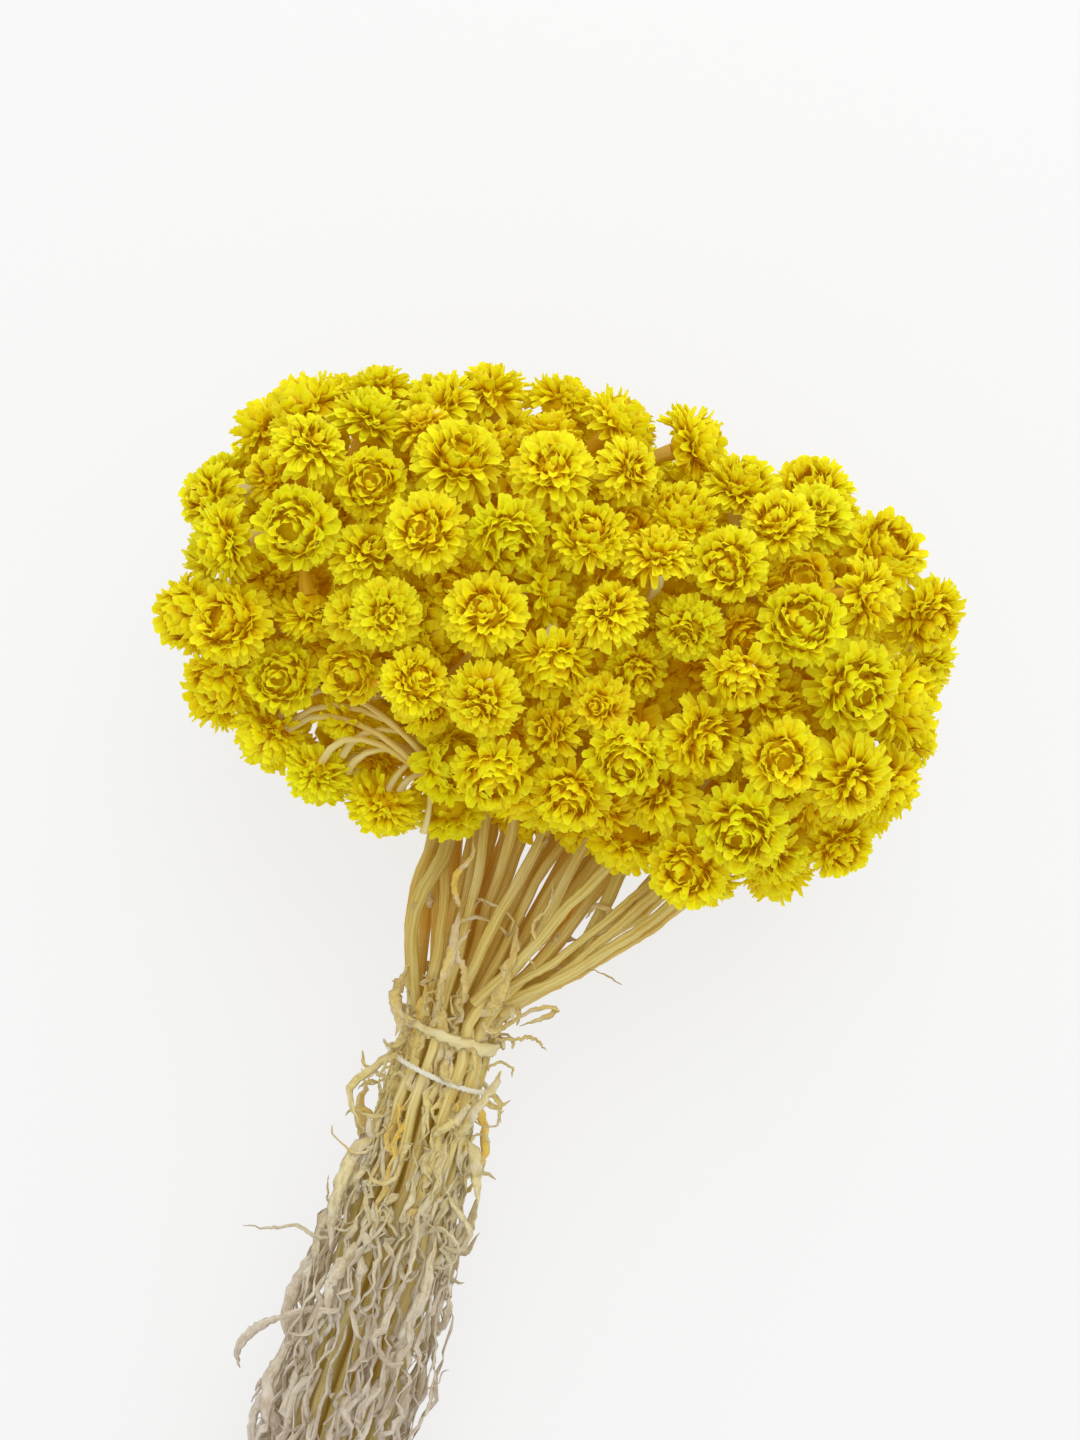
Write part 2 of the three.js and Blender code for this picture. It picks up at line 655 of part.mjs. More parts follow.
function rodsAlong(path, radius, group) {
  return path.slice(1).map((end, i) => ({ a: path[i], b: end, radius, group }));
}

function ringRods(body, size, radius) {
  const centres = [];
  for (let i = 0; i < body.points.length; i += size) {
    const centre = new THREE.Vector3();
    for (let k = 0; k < size; k += 1) centre.addScaledVector(body.points[i + k], 1 / size);
    centres.push(centre);
  }
  return rodsAlong([...centres, centres[0]], radius, -1);
}

const wasm = await Module();
wasm.setup();

function toManifold(body) {
  const pressed = body.points.flatMap(({ x, y, z }) => [x, y, Math.max(TABLE_HEIGHT, z)]);
  const vertProperties = new Float32Array(pressed);
  const triVerts = new Uint32Array(body.faces.flat());
  return new wasm.Manifold(new wasm.Mesh({ numProp: 3, vertProperties, triVerts }));
}

function geometryOf(solid) {
  const mesh = solid.getMesh();
  const geometry = new THREE.BufferGeometry();
  geometry.setAttribute('position', new THREE.Float32BufferAttribute(mesh.vertProperties, 3));
  geometry.setIndex([...mesh.triVerts]);
  return mergeVertices(geometry, 1e-4);
}

const bloomPaint = new THREE.MeshStandardMaterial({ color: 0xe9cb12, roughness: 0.85 });
const stemPaint = new THREE.MeshStandardMaterial({ color: 0xb9a05a, roughness: 0.9 });
const cordPaint = new THREE.MeshStandardMaterial({ color: 0xe4e0d0, roughness: 0.8 });
const stripPaint = new THREE.MeshStandardMaterial({ color: 0xd8c688, roughness: 0.85 });

const bunch = new THREE.Group();
bunch.name = 'dried_curry_plant';

function addMesh(name, geometry, paint) {
  const mesh = new THREE.Mesh(geometry, paint);
  mesh.name = name;
  bunch.add(mesh);
}

function ringPlace(place, slant) {
  return (across) => place + slant * across;
}

const { clusters, rods } = layOut();
const paths = clusters.map(stemPath);
const cordReach = bundleReach(paths, -2.5, 2) + CLEARANCE + CORD_RADIUS;
const cord = ringBody(cordReach, cordSection, ringPlace(CORD_PLACE, CORD_SLANT));
const stripReach = bundleReach(paths, 3.5, 7.8) + CLEARANCE + 0.5 * STRIP_THICKNESS;
const strip = ringBody(stripReach, stripSection, ringPlace(STRIP_PLACE, STRIP_SLANT));

const solids = rods.filter((rod) => !rod.stem);
paths.forEach((path, group) => solids.push(...rodsAlong(path, STEM_RADIUS, group)));
solids.push(...ringRods(cord, CORD_SIDES, CORD_RADIUS));
solids.push(...ringRods(strip, 4, 0.5 * STRIP_WIDTH * (1 + STRIP_FLARE)));
const leaves = growLeaves(paths, solids, seededRandom(LEAF_SEED));

clusters.forEach((cluster, i) => {
  const number = String(i + 1).padStart(2, '0');
  for (const bloom of cluster.blooms) {
    const away = bloom.middle.clone().sub(cluster.hub).normalize();
    bloom.axis = away.addScaledVector(crownNormal(bloom.middle), BLOOM_TURN_OUT).normalize();
  }
  addMesh(`flower_cluster_${number}`, geometryOf(toManifold(clusterBody(cluster))), bloomPaint);
  const pieces = [tubeBody(paths[i], STEM_RADIUS, STEM_SIDES), ...leaves[i]].map(toManifold);
  addMesh(`leafy_stem_${number}`, geometryOf(wasm.Manifold.union(pieces)), stemPaint);
});
addMesh('tie_cord', geometryOf(toManifold(cord)), cordPaint);
addMesh('leaf_strip', geometryOf(toManifold(strip)), stripPaint);

// The origin moves to the middle of the footprint on the table
const box = new THREE.Box3().setFromObject(bunch);
const centre = box.getCenter(new THREE.Vector3());
for (const mesh of bunch.children) mesh.geometry.translate(-centre.x, -centre.y, -box.min.z);

export default bunch;
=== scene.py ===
# %% [markdown]
# A tied bunch of dried curry plant, lying on a pale table and seen from above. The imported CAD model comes
# in first: it fixes where every cluster of blooms, every stem, the cord and the leaf strip lie. The cells
# below dress it. Each CAD solid is replaced by finer pieces that keep its place and its size: blooms made
# of separate papery bracts, thin flaring stalks, fibrous stems, felted leaves, and two bindings.

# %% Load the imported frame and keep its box
import json
import math

import bpy
import numpy as np
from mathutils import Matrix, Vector

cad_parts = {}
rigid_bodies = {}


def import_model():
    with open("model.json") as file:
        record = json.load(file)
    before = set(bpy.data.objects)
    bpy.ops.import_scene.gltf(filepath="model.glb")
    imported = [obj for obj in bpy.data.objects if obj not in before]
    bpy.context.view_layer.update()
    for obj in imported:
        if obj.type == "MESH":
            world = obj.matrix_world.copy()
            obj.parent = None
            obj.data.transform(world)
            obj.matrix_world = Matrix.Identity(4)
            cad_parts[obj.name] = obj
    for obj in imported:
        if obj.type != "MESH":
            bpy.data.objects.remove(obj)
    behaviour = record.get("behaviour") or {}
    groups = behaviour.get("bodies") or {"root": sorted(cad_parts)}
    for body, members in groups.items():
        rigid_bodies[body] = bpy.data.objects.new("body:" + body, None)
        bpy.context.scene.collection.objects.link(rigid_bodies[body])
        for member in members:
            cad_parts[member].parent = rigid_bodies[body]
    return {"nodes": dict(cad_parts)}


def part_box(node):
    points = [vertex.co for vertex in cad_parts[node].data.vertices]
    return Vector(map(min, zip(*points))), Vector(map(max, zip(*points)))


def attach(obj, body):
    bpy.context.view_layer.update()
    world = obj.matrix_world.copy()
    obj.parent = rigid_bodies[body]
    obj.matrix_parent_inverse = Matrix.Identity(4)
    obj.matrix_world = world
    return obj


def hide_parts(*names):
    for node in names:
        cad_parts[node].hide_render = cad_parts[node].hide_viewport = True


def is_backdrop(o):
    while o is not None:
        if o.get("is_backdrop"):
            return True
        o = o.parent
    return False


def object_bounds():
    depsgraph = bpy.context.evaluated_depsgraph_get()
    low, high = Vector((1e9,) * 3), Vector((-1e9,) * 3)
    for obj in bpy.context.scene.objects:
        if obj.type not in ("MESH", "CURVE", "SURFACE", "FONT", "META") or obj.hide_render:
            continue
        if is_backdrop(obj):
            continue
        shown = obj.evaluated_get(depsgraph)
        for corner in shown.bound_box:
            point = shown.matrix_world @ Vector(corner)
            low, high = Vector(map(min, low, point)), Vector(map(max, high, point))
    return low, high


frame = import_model()
CAD_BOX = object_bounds()
MM = 0.001
print(f"{len(frame['nodes'])} CAD nodes, box {[round(v / MM, 1) for v in (CAD_BOX[1] - CAD_BOX[0])]} mm")

# %% [markdown]
# Where does each bloom go? In a real bunch nobody places them: each stem ends in a spray, and the sprays
# press on one another until they fill a dome. The model does the same. Its 28 clusters start as narrow
# cones in a rounded crown, then all rods (stems, stalks and blooms) push one another apart for 450 short
# passes. The draw is seeded and every pass is rounded to a hundred-thousandth of a millimetre, so this
# script repeats the rule and arrives at the very places that the CAD solids have. Lengths in this part are
# millimetres, counted from the middle of the tie: x across, y along the bunch, z up.

# %% The driving sizes of the layout
CLEARANCE = 0.3
TABLE_HEIGHT = 1.2
TIE_HEIGHT, AXIS_RISE, BUNDLE_RADIUS, NECK_LENGTH = 22.0, 0.1, 7.0, 8.0
TIE_ACROSS, TIE_UP = 0.19, 0.32
STEM_RADIUS = 0.95
TAIL_LENGTH, TAIL_HEIGHT, TAIL_SPREAD, TAIL_TWIST, TAIL_DRIFT = 120.0, 9.4, 1.3, 0.6, -5.0
TAIL_SHARES = (1, 0.7, 0.35)
CROWN_CENTRE = np.array([0.5, 64, 30])
CROWN_HALF = np.array([49.5, 28.5, 25])
CROWN_LIMIT = np.array([50.5, 29.5, 26])
CROWN_POWER = 2.8
OPEN_SPACES = ((np.array([8.0, 22, 47]), 17), (np.array([47.0, 16, 30]), 19),
               (np.array([-19.0, 37, 54]), 11))
BLOOM_RADIUS, BLOOM_TURN_OUT = 5.3, 0.35
PEDICEL_LENGTH, PEDICEL_RADIUS, HUB_RADIUS, SOCKET_RADIUS = 15.0, 0.5, 2.0, 0.7
GOLDEN_ANGLE = math.pi * (3 - math.sqrt(5))

# %% About where each cluster shows on the crown, (across, along, up), and its number of blooms
CLUSTERS = (
    # round the edge of the crown, from the drooping lower left over the top to the lower right
    (-19, 37, 31, 7), (-36, 41, 29, 8), (-50, 56, 31, 8), (-48, 74, 29, 7),
    (-40, 89, 33, 8), (-20, 93, 29, 7), (-1, 93, 32, 7), (18, 93, 28, 7),
    (36, 89, 32, 7), (50, 75, 28, 7), (50, 59, 32, 8), (38, 47, 29, 7),
    # the side that faces up
    (-30, 53, 52, 7), (-33, 75, 52, 7), (-14, 67, 55, 7), (-12, 84, 53, 7), (-14, 51, 51, 6),
    (4, 58, 55, 7), (9, 79, 54, 6), (12, 52, 52, 6), (23, 67, 55, 7), (30, 82, 50, 6), (31, 54, 50, 7),
    # the side that lies on the table
    (-32, 64, 8, 8), (-11, 78, 6, 8), (-8, 54, 7, 7), (14, 68, 6, 8), (34, 66, 8, 7),
)


# %% A seeded draw that any language can repeat
def seeded_random(seed):
    state = seed

    def draw():
        nonlocal state
        state = (state * 1664525 + 1013904223) & 0xFFFFFFFF
        return state / 4294967296

    return draw


# %% Small helpers for directions
def unit(vector):
    return vector / np.sqrt((vector * vector).sum(-1, keepdims=True))


def crown_normal(point):
    away = point - CROWN_CENTRE
    slope = np.sign(away) * (np.abs(away) / CROWN_HALF) ** (CROWN_POWER - 1) / CROWN_HALF
    return unit(slope)


def shell_reach(point, half):
    return ((np.abs(point - CROWN_CENTRE) / half) ** CROWN_POWER).sum(-1, keepdims=True)


def to_shell(point, half):
    return (point - CROWN_CENTRE) * shell_reach(point, half) ** (-1 / CROWN_POWER) + CROWN_CENTRE


def sideways(direction):
    helper = np.array([0.0, 0, 1]) if abs(direction[2]) < 0.8 else np.array([1.0, 0, 0])
    u = unit(np.cross(helper, direction))
    return u, np.cross(direction, u)


# %% Where each stem and each bloom starts
FAN_POINTS, FAN_LIFT, FAN_DRIFT, HUB_BEND, START_CONE = 6, 20.0, 5.0, 15.0, 0.7


def axis_at(along):
    share = np.maximum(0, -along / TAIL_LENGTH)
    height = np.where(along >= 0, TIE_HEIGHT + AXIS_RISE * along,
                      TIE_HEIGHT + (TAIL_HEIGHT - TIE_HEIGHT) * share)
    return np.stack([TAIL_DRIFT * share * share, along, height], -1)


TIE, NECK = axis_at(np.array(0.0)), axis_at(np.array(NECK_LENGTH))


def start_stem(hub, normal):
    neck = NECK + np.array([TIE_ACROSS * (hub[0] - 1), 0, TIE_UP * (hub[2] - CROWN_CENTRE[2])])
    lifted = neck + np.array([FAN_DRIFT, FAN_LIFT, AXIS_RISE * FAN_LIFT])
    below = hub - HUB_BEND * normal
    below[0] += FAN_DRIFT
    stem = []
    for i in range(FAN_POINTS - 1):
        t = i / (FAN_POINTS - 1)
        s = 1 - t
        stem.append(s * s * s * neck + 3 * s * s * t * lifted + 3 * s * t * t * below + t * t * t * hub)
    return stem + [hub]


def start_blooms(hub, normal, count, draw):
    u, v = sideways(normal)
    spin = draw() * 2 * math.pi
    blooms = []
    for i in range(count):
        polar = START_CONE * math.sqrt((i + 0.4) / count)
        turn = spin + i * GOLDEN_ANGLE
        length = PEDICEL_LENGTH * (0.9 + 0.2 * draw())
        radius = BLOOM_RADIUS * (0.86 + 0.24 * draw())
        side = math.sin(polar) * (math.cos(turn) * u + math.sin(turn) * v)
        blooms.append((hub + length * (math.cos(polar) * normal + side), length, radius))
    return blooms


# %% All points of the layout in one array, and the rods that join them
LAYOUT_SEED = 29
draw = seeded_random(LAYOUT_SEED)
points, stem_points, bloom_points, bloom_length, bloom_radius, bloom_group = [], [], [], [], [], []
rod_ends, rod_radius, rod_group, rod_bloom = [], [], [], []
for group, (across, along, up, count) in enumerate(CLUSTERS):
    crown = to_shell(np.array([across, along, up], float), CROWN_HALF)
    normal = crown_normal(crown)
    stem = start_stem(crown - PEDICEL_LENGTH * normal, normal)
    first = len(points)
    points += stem
    stem_points.append(list(range(first, first + FAN_POINTS)))
    hub = first + FAN_POINTS - 1
    rods = [(first + i, first + i + 1, STEM_RADIUS, -1) for i in range(FAN_POINTS - 1)]
    rods.append((hub, hub, HUB_RADIUS, -1))
    for middle, length, radius in start_blooms(stem[-1], normal, count, draw):
        rods.append((hub, len(points), PEDICEL_RADIUS, -1))
        rods.append((len(points), len(points), radius, len(bloom_points)))
        bloom_points.append(len(points))
        bloom_length.append(length)
        bloom_radius.append(radius)
        bloom_group.append(group)
        points.append(middle)
    for a, b, radius, bloom in rods:
        rod_ends.append((a, b))
        rod_radius.append(radius)
        rod_group.append(group)
        rod_bloom.append(bloom)
points = np.array(points)
stem_points, bloom_points, rod_ends = np.array(stem_points), np.array(bloom_points), np.array(rod_ends)
bloom_length, bloom_radius, bloom_group = map(np.array, (bloom_length, bloom_radius, bloom_group))
rod_radius, rod_group, rod_bloom = map(np.array, (rod_radius, rod_group, rod_bloom))
rod_stem = (rod_ends[:, 1] == rod_ends[:, 0] + 1) & (rod_radius == STEM_RADIUS)
print(f"{len(CLUSTERS)} stems, {len(bloom_points)} blooms, {len(rod_ends)} rods")


# %% Nearest points of many pairs of rods at once
def dot(a, b):
    return a[..., 0] * b[..., 0] + a[..., 1] * b[..., 1] + a[..., 2] * b[..., 2]


def length_of(vectors):
    return np.sqrt(dot(vectors, vectors))


def nearest(a1, b1, a2, b2):
    """Shares s and t along the two rods, and the vector between those points from the first to the second"""
    along1, along2, offset = b1 - a1, b2 - a2, a1 - a2
    a, e, b = dot(along1, along1), dot(along2, along2), dot(along1, along2)
    c, f = dot(along1, offset), dot(along2, offset)
    long1, long2 = a > 1e-9, e > 1e-9
    spread = a * e - b * b
    safe_a, safe_e = np.where(long1, a, 1), np.where(long2, e, 1)
    apart = spread > 1e-9
    s = np.where(apart, np.clip((b * f - c * e) / np.where(apart, spread, 1), 0, 1), 0)
    free = (b * s + f) / safe_e
    t = np.clip(free, 0, 1)
    s = np.where(free == t, s, np.clip((b * t - c) / safe_a, 0, 1))
    both = long1 & long2
    s = np.where(both, s, np.where(long1, np.clip(-c / safe_a, 0, 1), 0))
    t = np.where(both, t, np.where(long2, np.clip(f / safe_e, 0, 1), 0))
    return s, t, along2 * t[..., None] + along1 * -s[..., None] - offset


# %% Which rods come near each other
PAIR_REACH = 5
first, second = np.triu_indices(len(rod_ends), 1)
same = rod_group[first] == rod_group[second]
joined = (rod_ends[first][:, :, None] == rod_ends[second][:, None, :]).any((1, 2))
keep = ~(same & (joined | (rod_stem[first] & rod_stem[second])))
first, second = first[keep], second[keep]


def gap_vectors(i, j):
    ends1, ends2 = rod_ends[i], rod_ends[j]
    return nearest(points[ends1[:, 0]], points[ends1[:, 1]], points[ends2[:, 0]], points[ends2[:, 1]])


def near_pairs():
    distance = length_of(gap_vectors(first, second)[2])
    near = distance < rod_radius[first] + rod_radius[second] + PAIR_REACH
    return first[near], second[near]


# %% One pass of pushing
STEM_ROOM, ROD_SPARE, BLOOM_SPARE, ROD_FIRMNESS, BLOOM_FIRMNESS = 5.5, 0.3, 0.05, 0.5, 0.15


def push_apart(i, j, grown, push):
    soft = (rod_bloom[i] >= 0) | (rod_bloom[j] >= 0)
    own_stem = soft & rod_stem[i] & (rod_group[i] == rod_group[j])
    room = np.where(own_stem, STEM_ROOM, np.where(soft, BLOOM_SPARE, ROD_SPARE))
    need = grown * (rod_radius[i] + rod_radius[j] + CLEARANCE + room)
    s, t, apart = gap_vectors(i, j)
    distance = length_of(apart)
    acts = (distance < need) & (distance >= 1e-6)
    firmness = np.where(soft, BLOOM_FIRMNESS, ROD_FIRMNESS)
    size = np.where(acts, firmness * (need - distance) / np.where(acts, distance, 1), 0)
    for rods, end, share in ((i, 0, -(1 - s)), (i, 1, -s), (j, 0, 1 - t), (j, 1, t)):
        np.add.at(push, rod_ends[rods, end], apart * (size * share)[:, None])


# %% Each pass also draws the stems back to their line, and keeps the stalks' length and the bounds
HOME_PULL, SMOOTH_PULL, LENGTH_PULL, FLOOR_SHARE = 0.06, 0.04, 0.3, 0.86
homes = points[stem_points]
hub_of_bloom = stem_points[bloom_group, -1]


def hold_shape(hold, push):
    stems = points[stem_points]
    push[stem_points[:, 1:]] += HOME_PULL * hold * (homes - stems)[:, 1:]
    middle = 0.5 * (stems[:, :-2] + stems[:, 2:]) - stems[:, 1:-1]
    push[stem_points[:, 1:-1]] += SMOOTH_PULL * hold * middle
    stalk = points[bloom_points] - points[hub_of_bloom]
    length = length_of(stalk)[:, None]
    push[bloom_points] += stalk / length * (LENGTH_PULL * (bloom_length[:, None] - length))


def keep_in_bounds():
    from_middle = points[stem_points[:, 0]] - NECK
    from_middle[:, 1] = 0
    out = length_of(from_middle)[:, None]
    limit = BUNDLE_RADIUS - STEM_RADIUS
    from_middle = np.where(out > limit, from_middle / np.maximum(out, 1e-9) * limit, from_middle)
    points[stem_points[:, 0]] = from_middle + NECK
    blooms = points[bloom_points]
    blooms = np.where(shell_reach(blooms, CROWN_LIMIT) > 1, to_shell(blooms, CROWN_LIMIT), blooms)
    for at, size in OPEN_SPACES:
        away = blooms - at
        far = length_of(away)[:, None]
        need = size + bloom_radius[:, None]
        blooms = np.where(far < need, at + away / far * need, blooms)
    blooms[:, 2] = np.maximum(blooms[:, 2], FLOOR_SHARE * bloom_radius)
    points[bloom_points] = blooms


# %% Run the passes
PASSES, PASSES_PER_SEARCH, START_SIZE, GROWTH, PULL_FADE, GRID = 450, 12, 0.3, 2.1, 1.5, 1e5
for number in range(PASSES):
    if number % PASSES_PER_SEARCH == 0:
        near_first, near_second = near_pairs()
    push = np.zeros_like(points)
    push_apart(near_first, near_second, min(1, START_SIZE + GROWTH * number / PASSES), push)
    hold_shape(max(0, 1 - PULL_FADE * number / PASSES), push)
    points += push
    keep_in_bounds()
    points = np.floor(points * GRID + 0.5) / GRID
print(f"{len(near_first)} near pairs in the last pass")

# %% What the pushing leaves too near is settled by the size of the blooms
bloom_rod = np.flatnonzero(rod_bloom >= 0)
gap = length_of(gap_vectors(first, second)[2]) - CLEARANCE
room = bloom_radius.copy()
for own, other in ((first, second), (second, first)):
    is_bloom = rod_bloom[own] >= 0
    mine, theirs = rod_radius[own], rod_radius[other]
    share = np.where(rod_bloom[other] >= 0, gap * mine / (mine + theirs), gap - theirs)
    np.minimum.at(room, rod_bloom[own][is_bloom], share[is_bloom])
bloom_radius = room
rod_radius[bloom_rod] = bloom_radius[rod_bloom[bloom_rod]]
stem_lines = points[stem_points]
bloom_middle = points[bloom_points]
stalk_way = unit(bloom_middle - stem_lines[bloom_group, -1])
bloom_axis = unit(stalk_way + BLOOM_TURN_OUT * crown_normal(bloom_middle))
print(f"bloom radius {bloom_radius.min():.2f} to {bloom_radius.max():.2f} mm, "
      f"median {np.median(bloom_radius):.2f}")


# %% The whole line of each stem, from its cut end to its hub
def tail_point(tie, share):
    angle = TAIL_TWIST * share
    loosen = 1 + (TAIL_SPREAD - 1) * share
    x, z = tie[0] * loosen, (tie[2] - TIE_HEIGHT) * loosen
    turned = np.array([x * math.cos(angle) - z * math.sin(angle), 0,
                       x * math.sin(angle) + z * math.cos(angle)])
    return turned + axis_at(np.array(-TAIL_LENGTH * share))


def stem_path(line):
    end = math.sqrt(HUB_RADIUS ** 2 - SOCKET_RADIUS ** 2) + CLEARANCE
    tie = line[0] - NECK + TIE
    tail = [tail_point(tie, share) for share in TAIL_SHARES]
    return np.array(tail + [tie] + list(line[:-1]) + [line[-1] + end * unit(line[-2] - line[-1])])


stem_paths = [stem_path(line) for line in stem_lines]

# %% The two bindings: a ring round the bundle for the cord, and one for the leaf strip
RING_STEPS = 16
CORD_RADIUS, CORD_SIDES, CORD_PLACE, CORD_SLANT = 0.42, 5, -0.4, -0.16
STRIP_PLACE, STRIP_SLANT, STRIP_THICKNESS, STRIP_WIDTH, STRIP_FLARE = 5.6, -0.09, 0.7, 1.7, 0.3


def bundle_reach(low, high):
    reach = 0
    for path in stem_paths:
        share = np.linspace(0, 1, 9)[:, None, None]
        line = (path[:-1] * (1 - share) + path[1:] * share).reshape(-1, 3)
        line = line[(line[:, 1] >= low) & (line[:, 1] <= high)]
        reach = max(reach, np.sqrt(((line - axis_at(line[:, 1])) ** 2).sum(1)).max(initial=0))
    return reach + STEM_RADIUS


def ring_points(reach, section_at, place, slant):
    rows = []
    for i in range(RING_STEPS):
        angle = i * 2 * math.pi / RING_STEPS
        out = np.array([math.cos(angle), 0, math.sin(angle)])
        row = []
        for outward, along in section_at(out):
            point = out * (reach + outward)
            spot = place + slant * point[0] + along
            row.append(point + np.array([0, spot, TIE_HEIGHT + AXIS_RISE * spot]))
        rows.append(row)
    return np.array(rows)


def cord_section(out):
    turns = [i * 2 * math.pi / CORD_SIDES for i in range(CORD_SIDES)]
    return [(CORD_RADIUS * math.cos(turn), CORD_RADIUS * math.sin(turn)) for turn in turns]


def strip_section(out):
    wide = 0.5 * STRIP_WIDTH * (1 + STRIP_FLARE * out[0])
    thick = 0.5 * STRIP_THICKNESS
    return [(-thick, -wide), (thick, -0.8 * wide), (thick, 0.9 * wide), (-thick, wide)]


cord_reach = bundle_reach(-2.5, 2) + CLEARANCE + CORD_RADIUS
strip_reach = bundle_reach(3.5, 7.8) + CLEARANCE + 0.5 * STRIP_THICKNESS
cord_ring = ring_points(cord_reach, cord_section, CORD_PLACE, CORD_SLANT)
strip_ring = ring_points(strip_reach, strip_section, STRIP_PLACE, STRIP_SLANT)
print(f"cord ring radius {cord_reach:.2f} mm, strip ring radius {strip_reach:.2f} mm")

# %% [markdown]
# The leaves of the CAD stems come from the same kind of draw. A leaf is tried at a random place on a random
# stem, leaves it at an angle and curls more and more; one that would touch anything else is dropped. Here
# the test runs on all rods at once, and gives the same 46 leaves.

# %% The curled leaves
LEAF_COUNT, LEAF_TRIES, LEAF_SEED, LEAF_STEPS = 46, 9000, 7, 6
LEAF_LENGTHS, LEAF_PLACES, LEAF_TOP, LEAF_REACH = (15, 26), (-112, 16), 24, (11, 15)
LEAF_HALF_WIDTHS = (0.5, 0.85, 1.1, 1.15, 1.05, 0.75)
LEAF_ROOT_ANGLE, LEAF_ROOT_STEP = 1.1, 2.2


def leaf_path(start, outward, draw):
    forward = np.array([0, -1.0 if draw() < 0.45 else 1.0, 0])
    step = (LEAF_LENGTHS[0] + (LEAF_LENGTHS[1] - LEAF_LENGTHS[0]) * draw()) / LEAF_STEPS
    tilt = 0.25 + 0.45 * draw()
    curl = (-0.75 if draw() < 0.5 else 0.62) * (0.5 + 0.7 * draw())
    lean = (draw() - 0.5) * 0.7
    side = unit(np.cross(forward, outward))
    path = [start]
    for i in range(LEAF_STEPS):
        angle = LEAF_ROOT_ANGLE if i == 0 else tilt + 0.5 * curl * (i - 1)
        way = forward * math.cos(angle) + outward * math.sin(angle) + side * lean * math.sin(i)
        path.append(path[-1] + unit(way) * (LEAF_ROOT_STEP if i == 0 else step))
    return np.array(path)


def point_along(path, along):
    k = int(np.argmax(path[:, 1] > along))
    share = (along - path[k - 1, 1]) / (path[k, 1] - path[k - 1, 1])
    return path[k - 1] + (path[k] - path[k - 1]) * share


# %% Everything that a leaf must stay clear of
LEAF_RADII = np.maximum(LEAF_HALF_WIDTHS, LEAF_HALF_WIDTHS[1:] + (0,))


class Solids:
    """Rods that are in the way: their two ends, radius and group"""

    def __init__(self):
        self.a, self.b, self.radius, self.group = np.empty((0, 3)), np.empty((0, 3)), np.empty(0), np.empty(0)

    def add(self, a, b, radius, group):
        self.a, self.b = np.vstack([self.a, a]), np.vstack([self.b, b])
        self.radius = np.append(self.radius, np.broadcast_to(radius, len(a)))
        self.group = np.append(self.group, np.broadcast_to(group, len(a)))

    def clear_of(self, path, group):
        near = nearest(path[:-1, None], path[1:, None], self.a[None], self.b[None])[2]
        far = length_of(near) > LEAF_RADII[:, None] + self.radius + CLEARANCE
        own_root = (self.group == group) & (np.arange(LEAF_STEPS)[:, None] < 2)
        return bool((far | own_root).all())


solids = Solids()
kept = ~rod_stem
solids.add(points[rod_ends[kept, 0]], points[rod_ends[kept, 1]], rod_radius[kept], rod_group[kept])
for group, path in enumerate(stem_paths):
    solids.add(path[:-1], path[1:], STEM_RADIUS, group)
for ring, radius in ((cord_ring, CORD_RADIUS), (strip_ring, 0.5 * STRIP_WIDTH * (1 + STRIP_FLARE))):
    middles = ring.mean(1)
    solids.add(middles, np.roll(middles, -1, 0), radius, -1)

# %% Grow them
draw = seeded_random(LEAF_SEED)
curled_leaves = []
for attempt in range(LEAF_TRIES):
    if len(curled_leaves) == LEAF_COUNT:
        break
    group = int(draw() * len(stem_paths))
    along = LEAF_PLACES[0] + (LEAF_PLACES[1] - LEAF_PLACES[0]) * draw()
    swing, twist = 0.8 * (draw() - 0.5), 0.6 * (draw() - 0.5)
    start = point_along(stem_paths[group], along)
    out = start - axis_at(start[1])
    around = math.atan2(out[2], out[0]) + swing
    path = leaf_path(start, np.array([math.cos(around), 0, math.sin(around)]), draw)
    low = (np.minimum(path[:-1, 2], path[1:, 2]) < LEAF_RADII + TABLE_HEIGHT).any()
    past = path[:, 1].min() < -TAIL_LENGTH or path[:, 1].max() > LEAF_TOP
    reach = LEAF_REACH[0] + (LEAF_REACH[1] - LEAF_REACH[0]) * np.clip(-path[1:, 1] / TAIL_LENGTH, 0, 1)
    past = past or (np.linalg.norm(path[1:] - axis_at(path[1:, 1]), axis=1) > reach).any()
    if low or past or not solids.clear_of(path, group):
        continue
    solids.add(path[:-1], path[1:], LEAF_RADII, group)
    curled_leaves.append((group, path, twist))
print(f"{len(curled_leaves)} leaves after {attempt} tries")

# %% Move everything into the frame, and measure how well it meets the CAD solids
tie_low = np.array(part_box("tie_cord")[0]) / MM
SHIFT = tie_low - cord_ring.reshape(-1, 3).min(0)


def in_frame(millimetres):
    return (np.asarray(millimetres) + SHIFT) * MM


def worst_miss(group):
    mesh = frame["nodes"][f"flower_cluster_{group + 1:02d}"].data
    corners = np.empty(len(mesh.vertices) * 3, np.float32)
    mesh.vertices.foreach_get("co", corners)
    own = bloom_group == group
    tops = in_frame(bloom_middle[own] + 0.82 * bloom_radius[own, None] * bloom_axis[own])
    tops[:, 2] = np.maximum(tops[:, 2], 0)
    gaps = tops[:, None] - corners.reshape(-1, 3)[None]
    return np.sqrt((gaps ** 2).sum(2)).min(1).max() / MM


print("worst distance from a bloom's top to its CAD solid:",
      round(max(worst_miss(group) for group in range(len(CLUSTERS))), 4), "mm")

# %% [markdown]
# The blooms come first, because they are what one sees. The head of an everlasting is a button of over a
# hundred dry bracts, set in the turns of a sunflower: each stands one golden angle on from the last, small
# and upright round a tiny eye on top, long and swept outward below. One could model a single head and copy
# it, but 199 equal heads look like plastic. Here a node tree builds every head from its own size, axis and
# openness, and places small bract meshes again and again by that rule. Each bract has only 20 triangles.

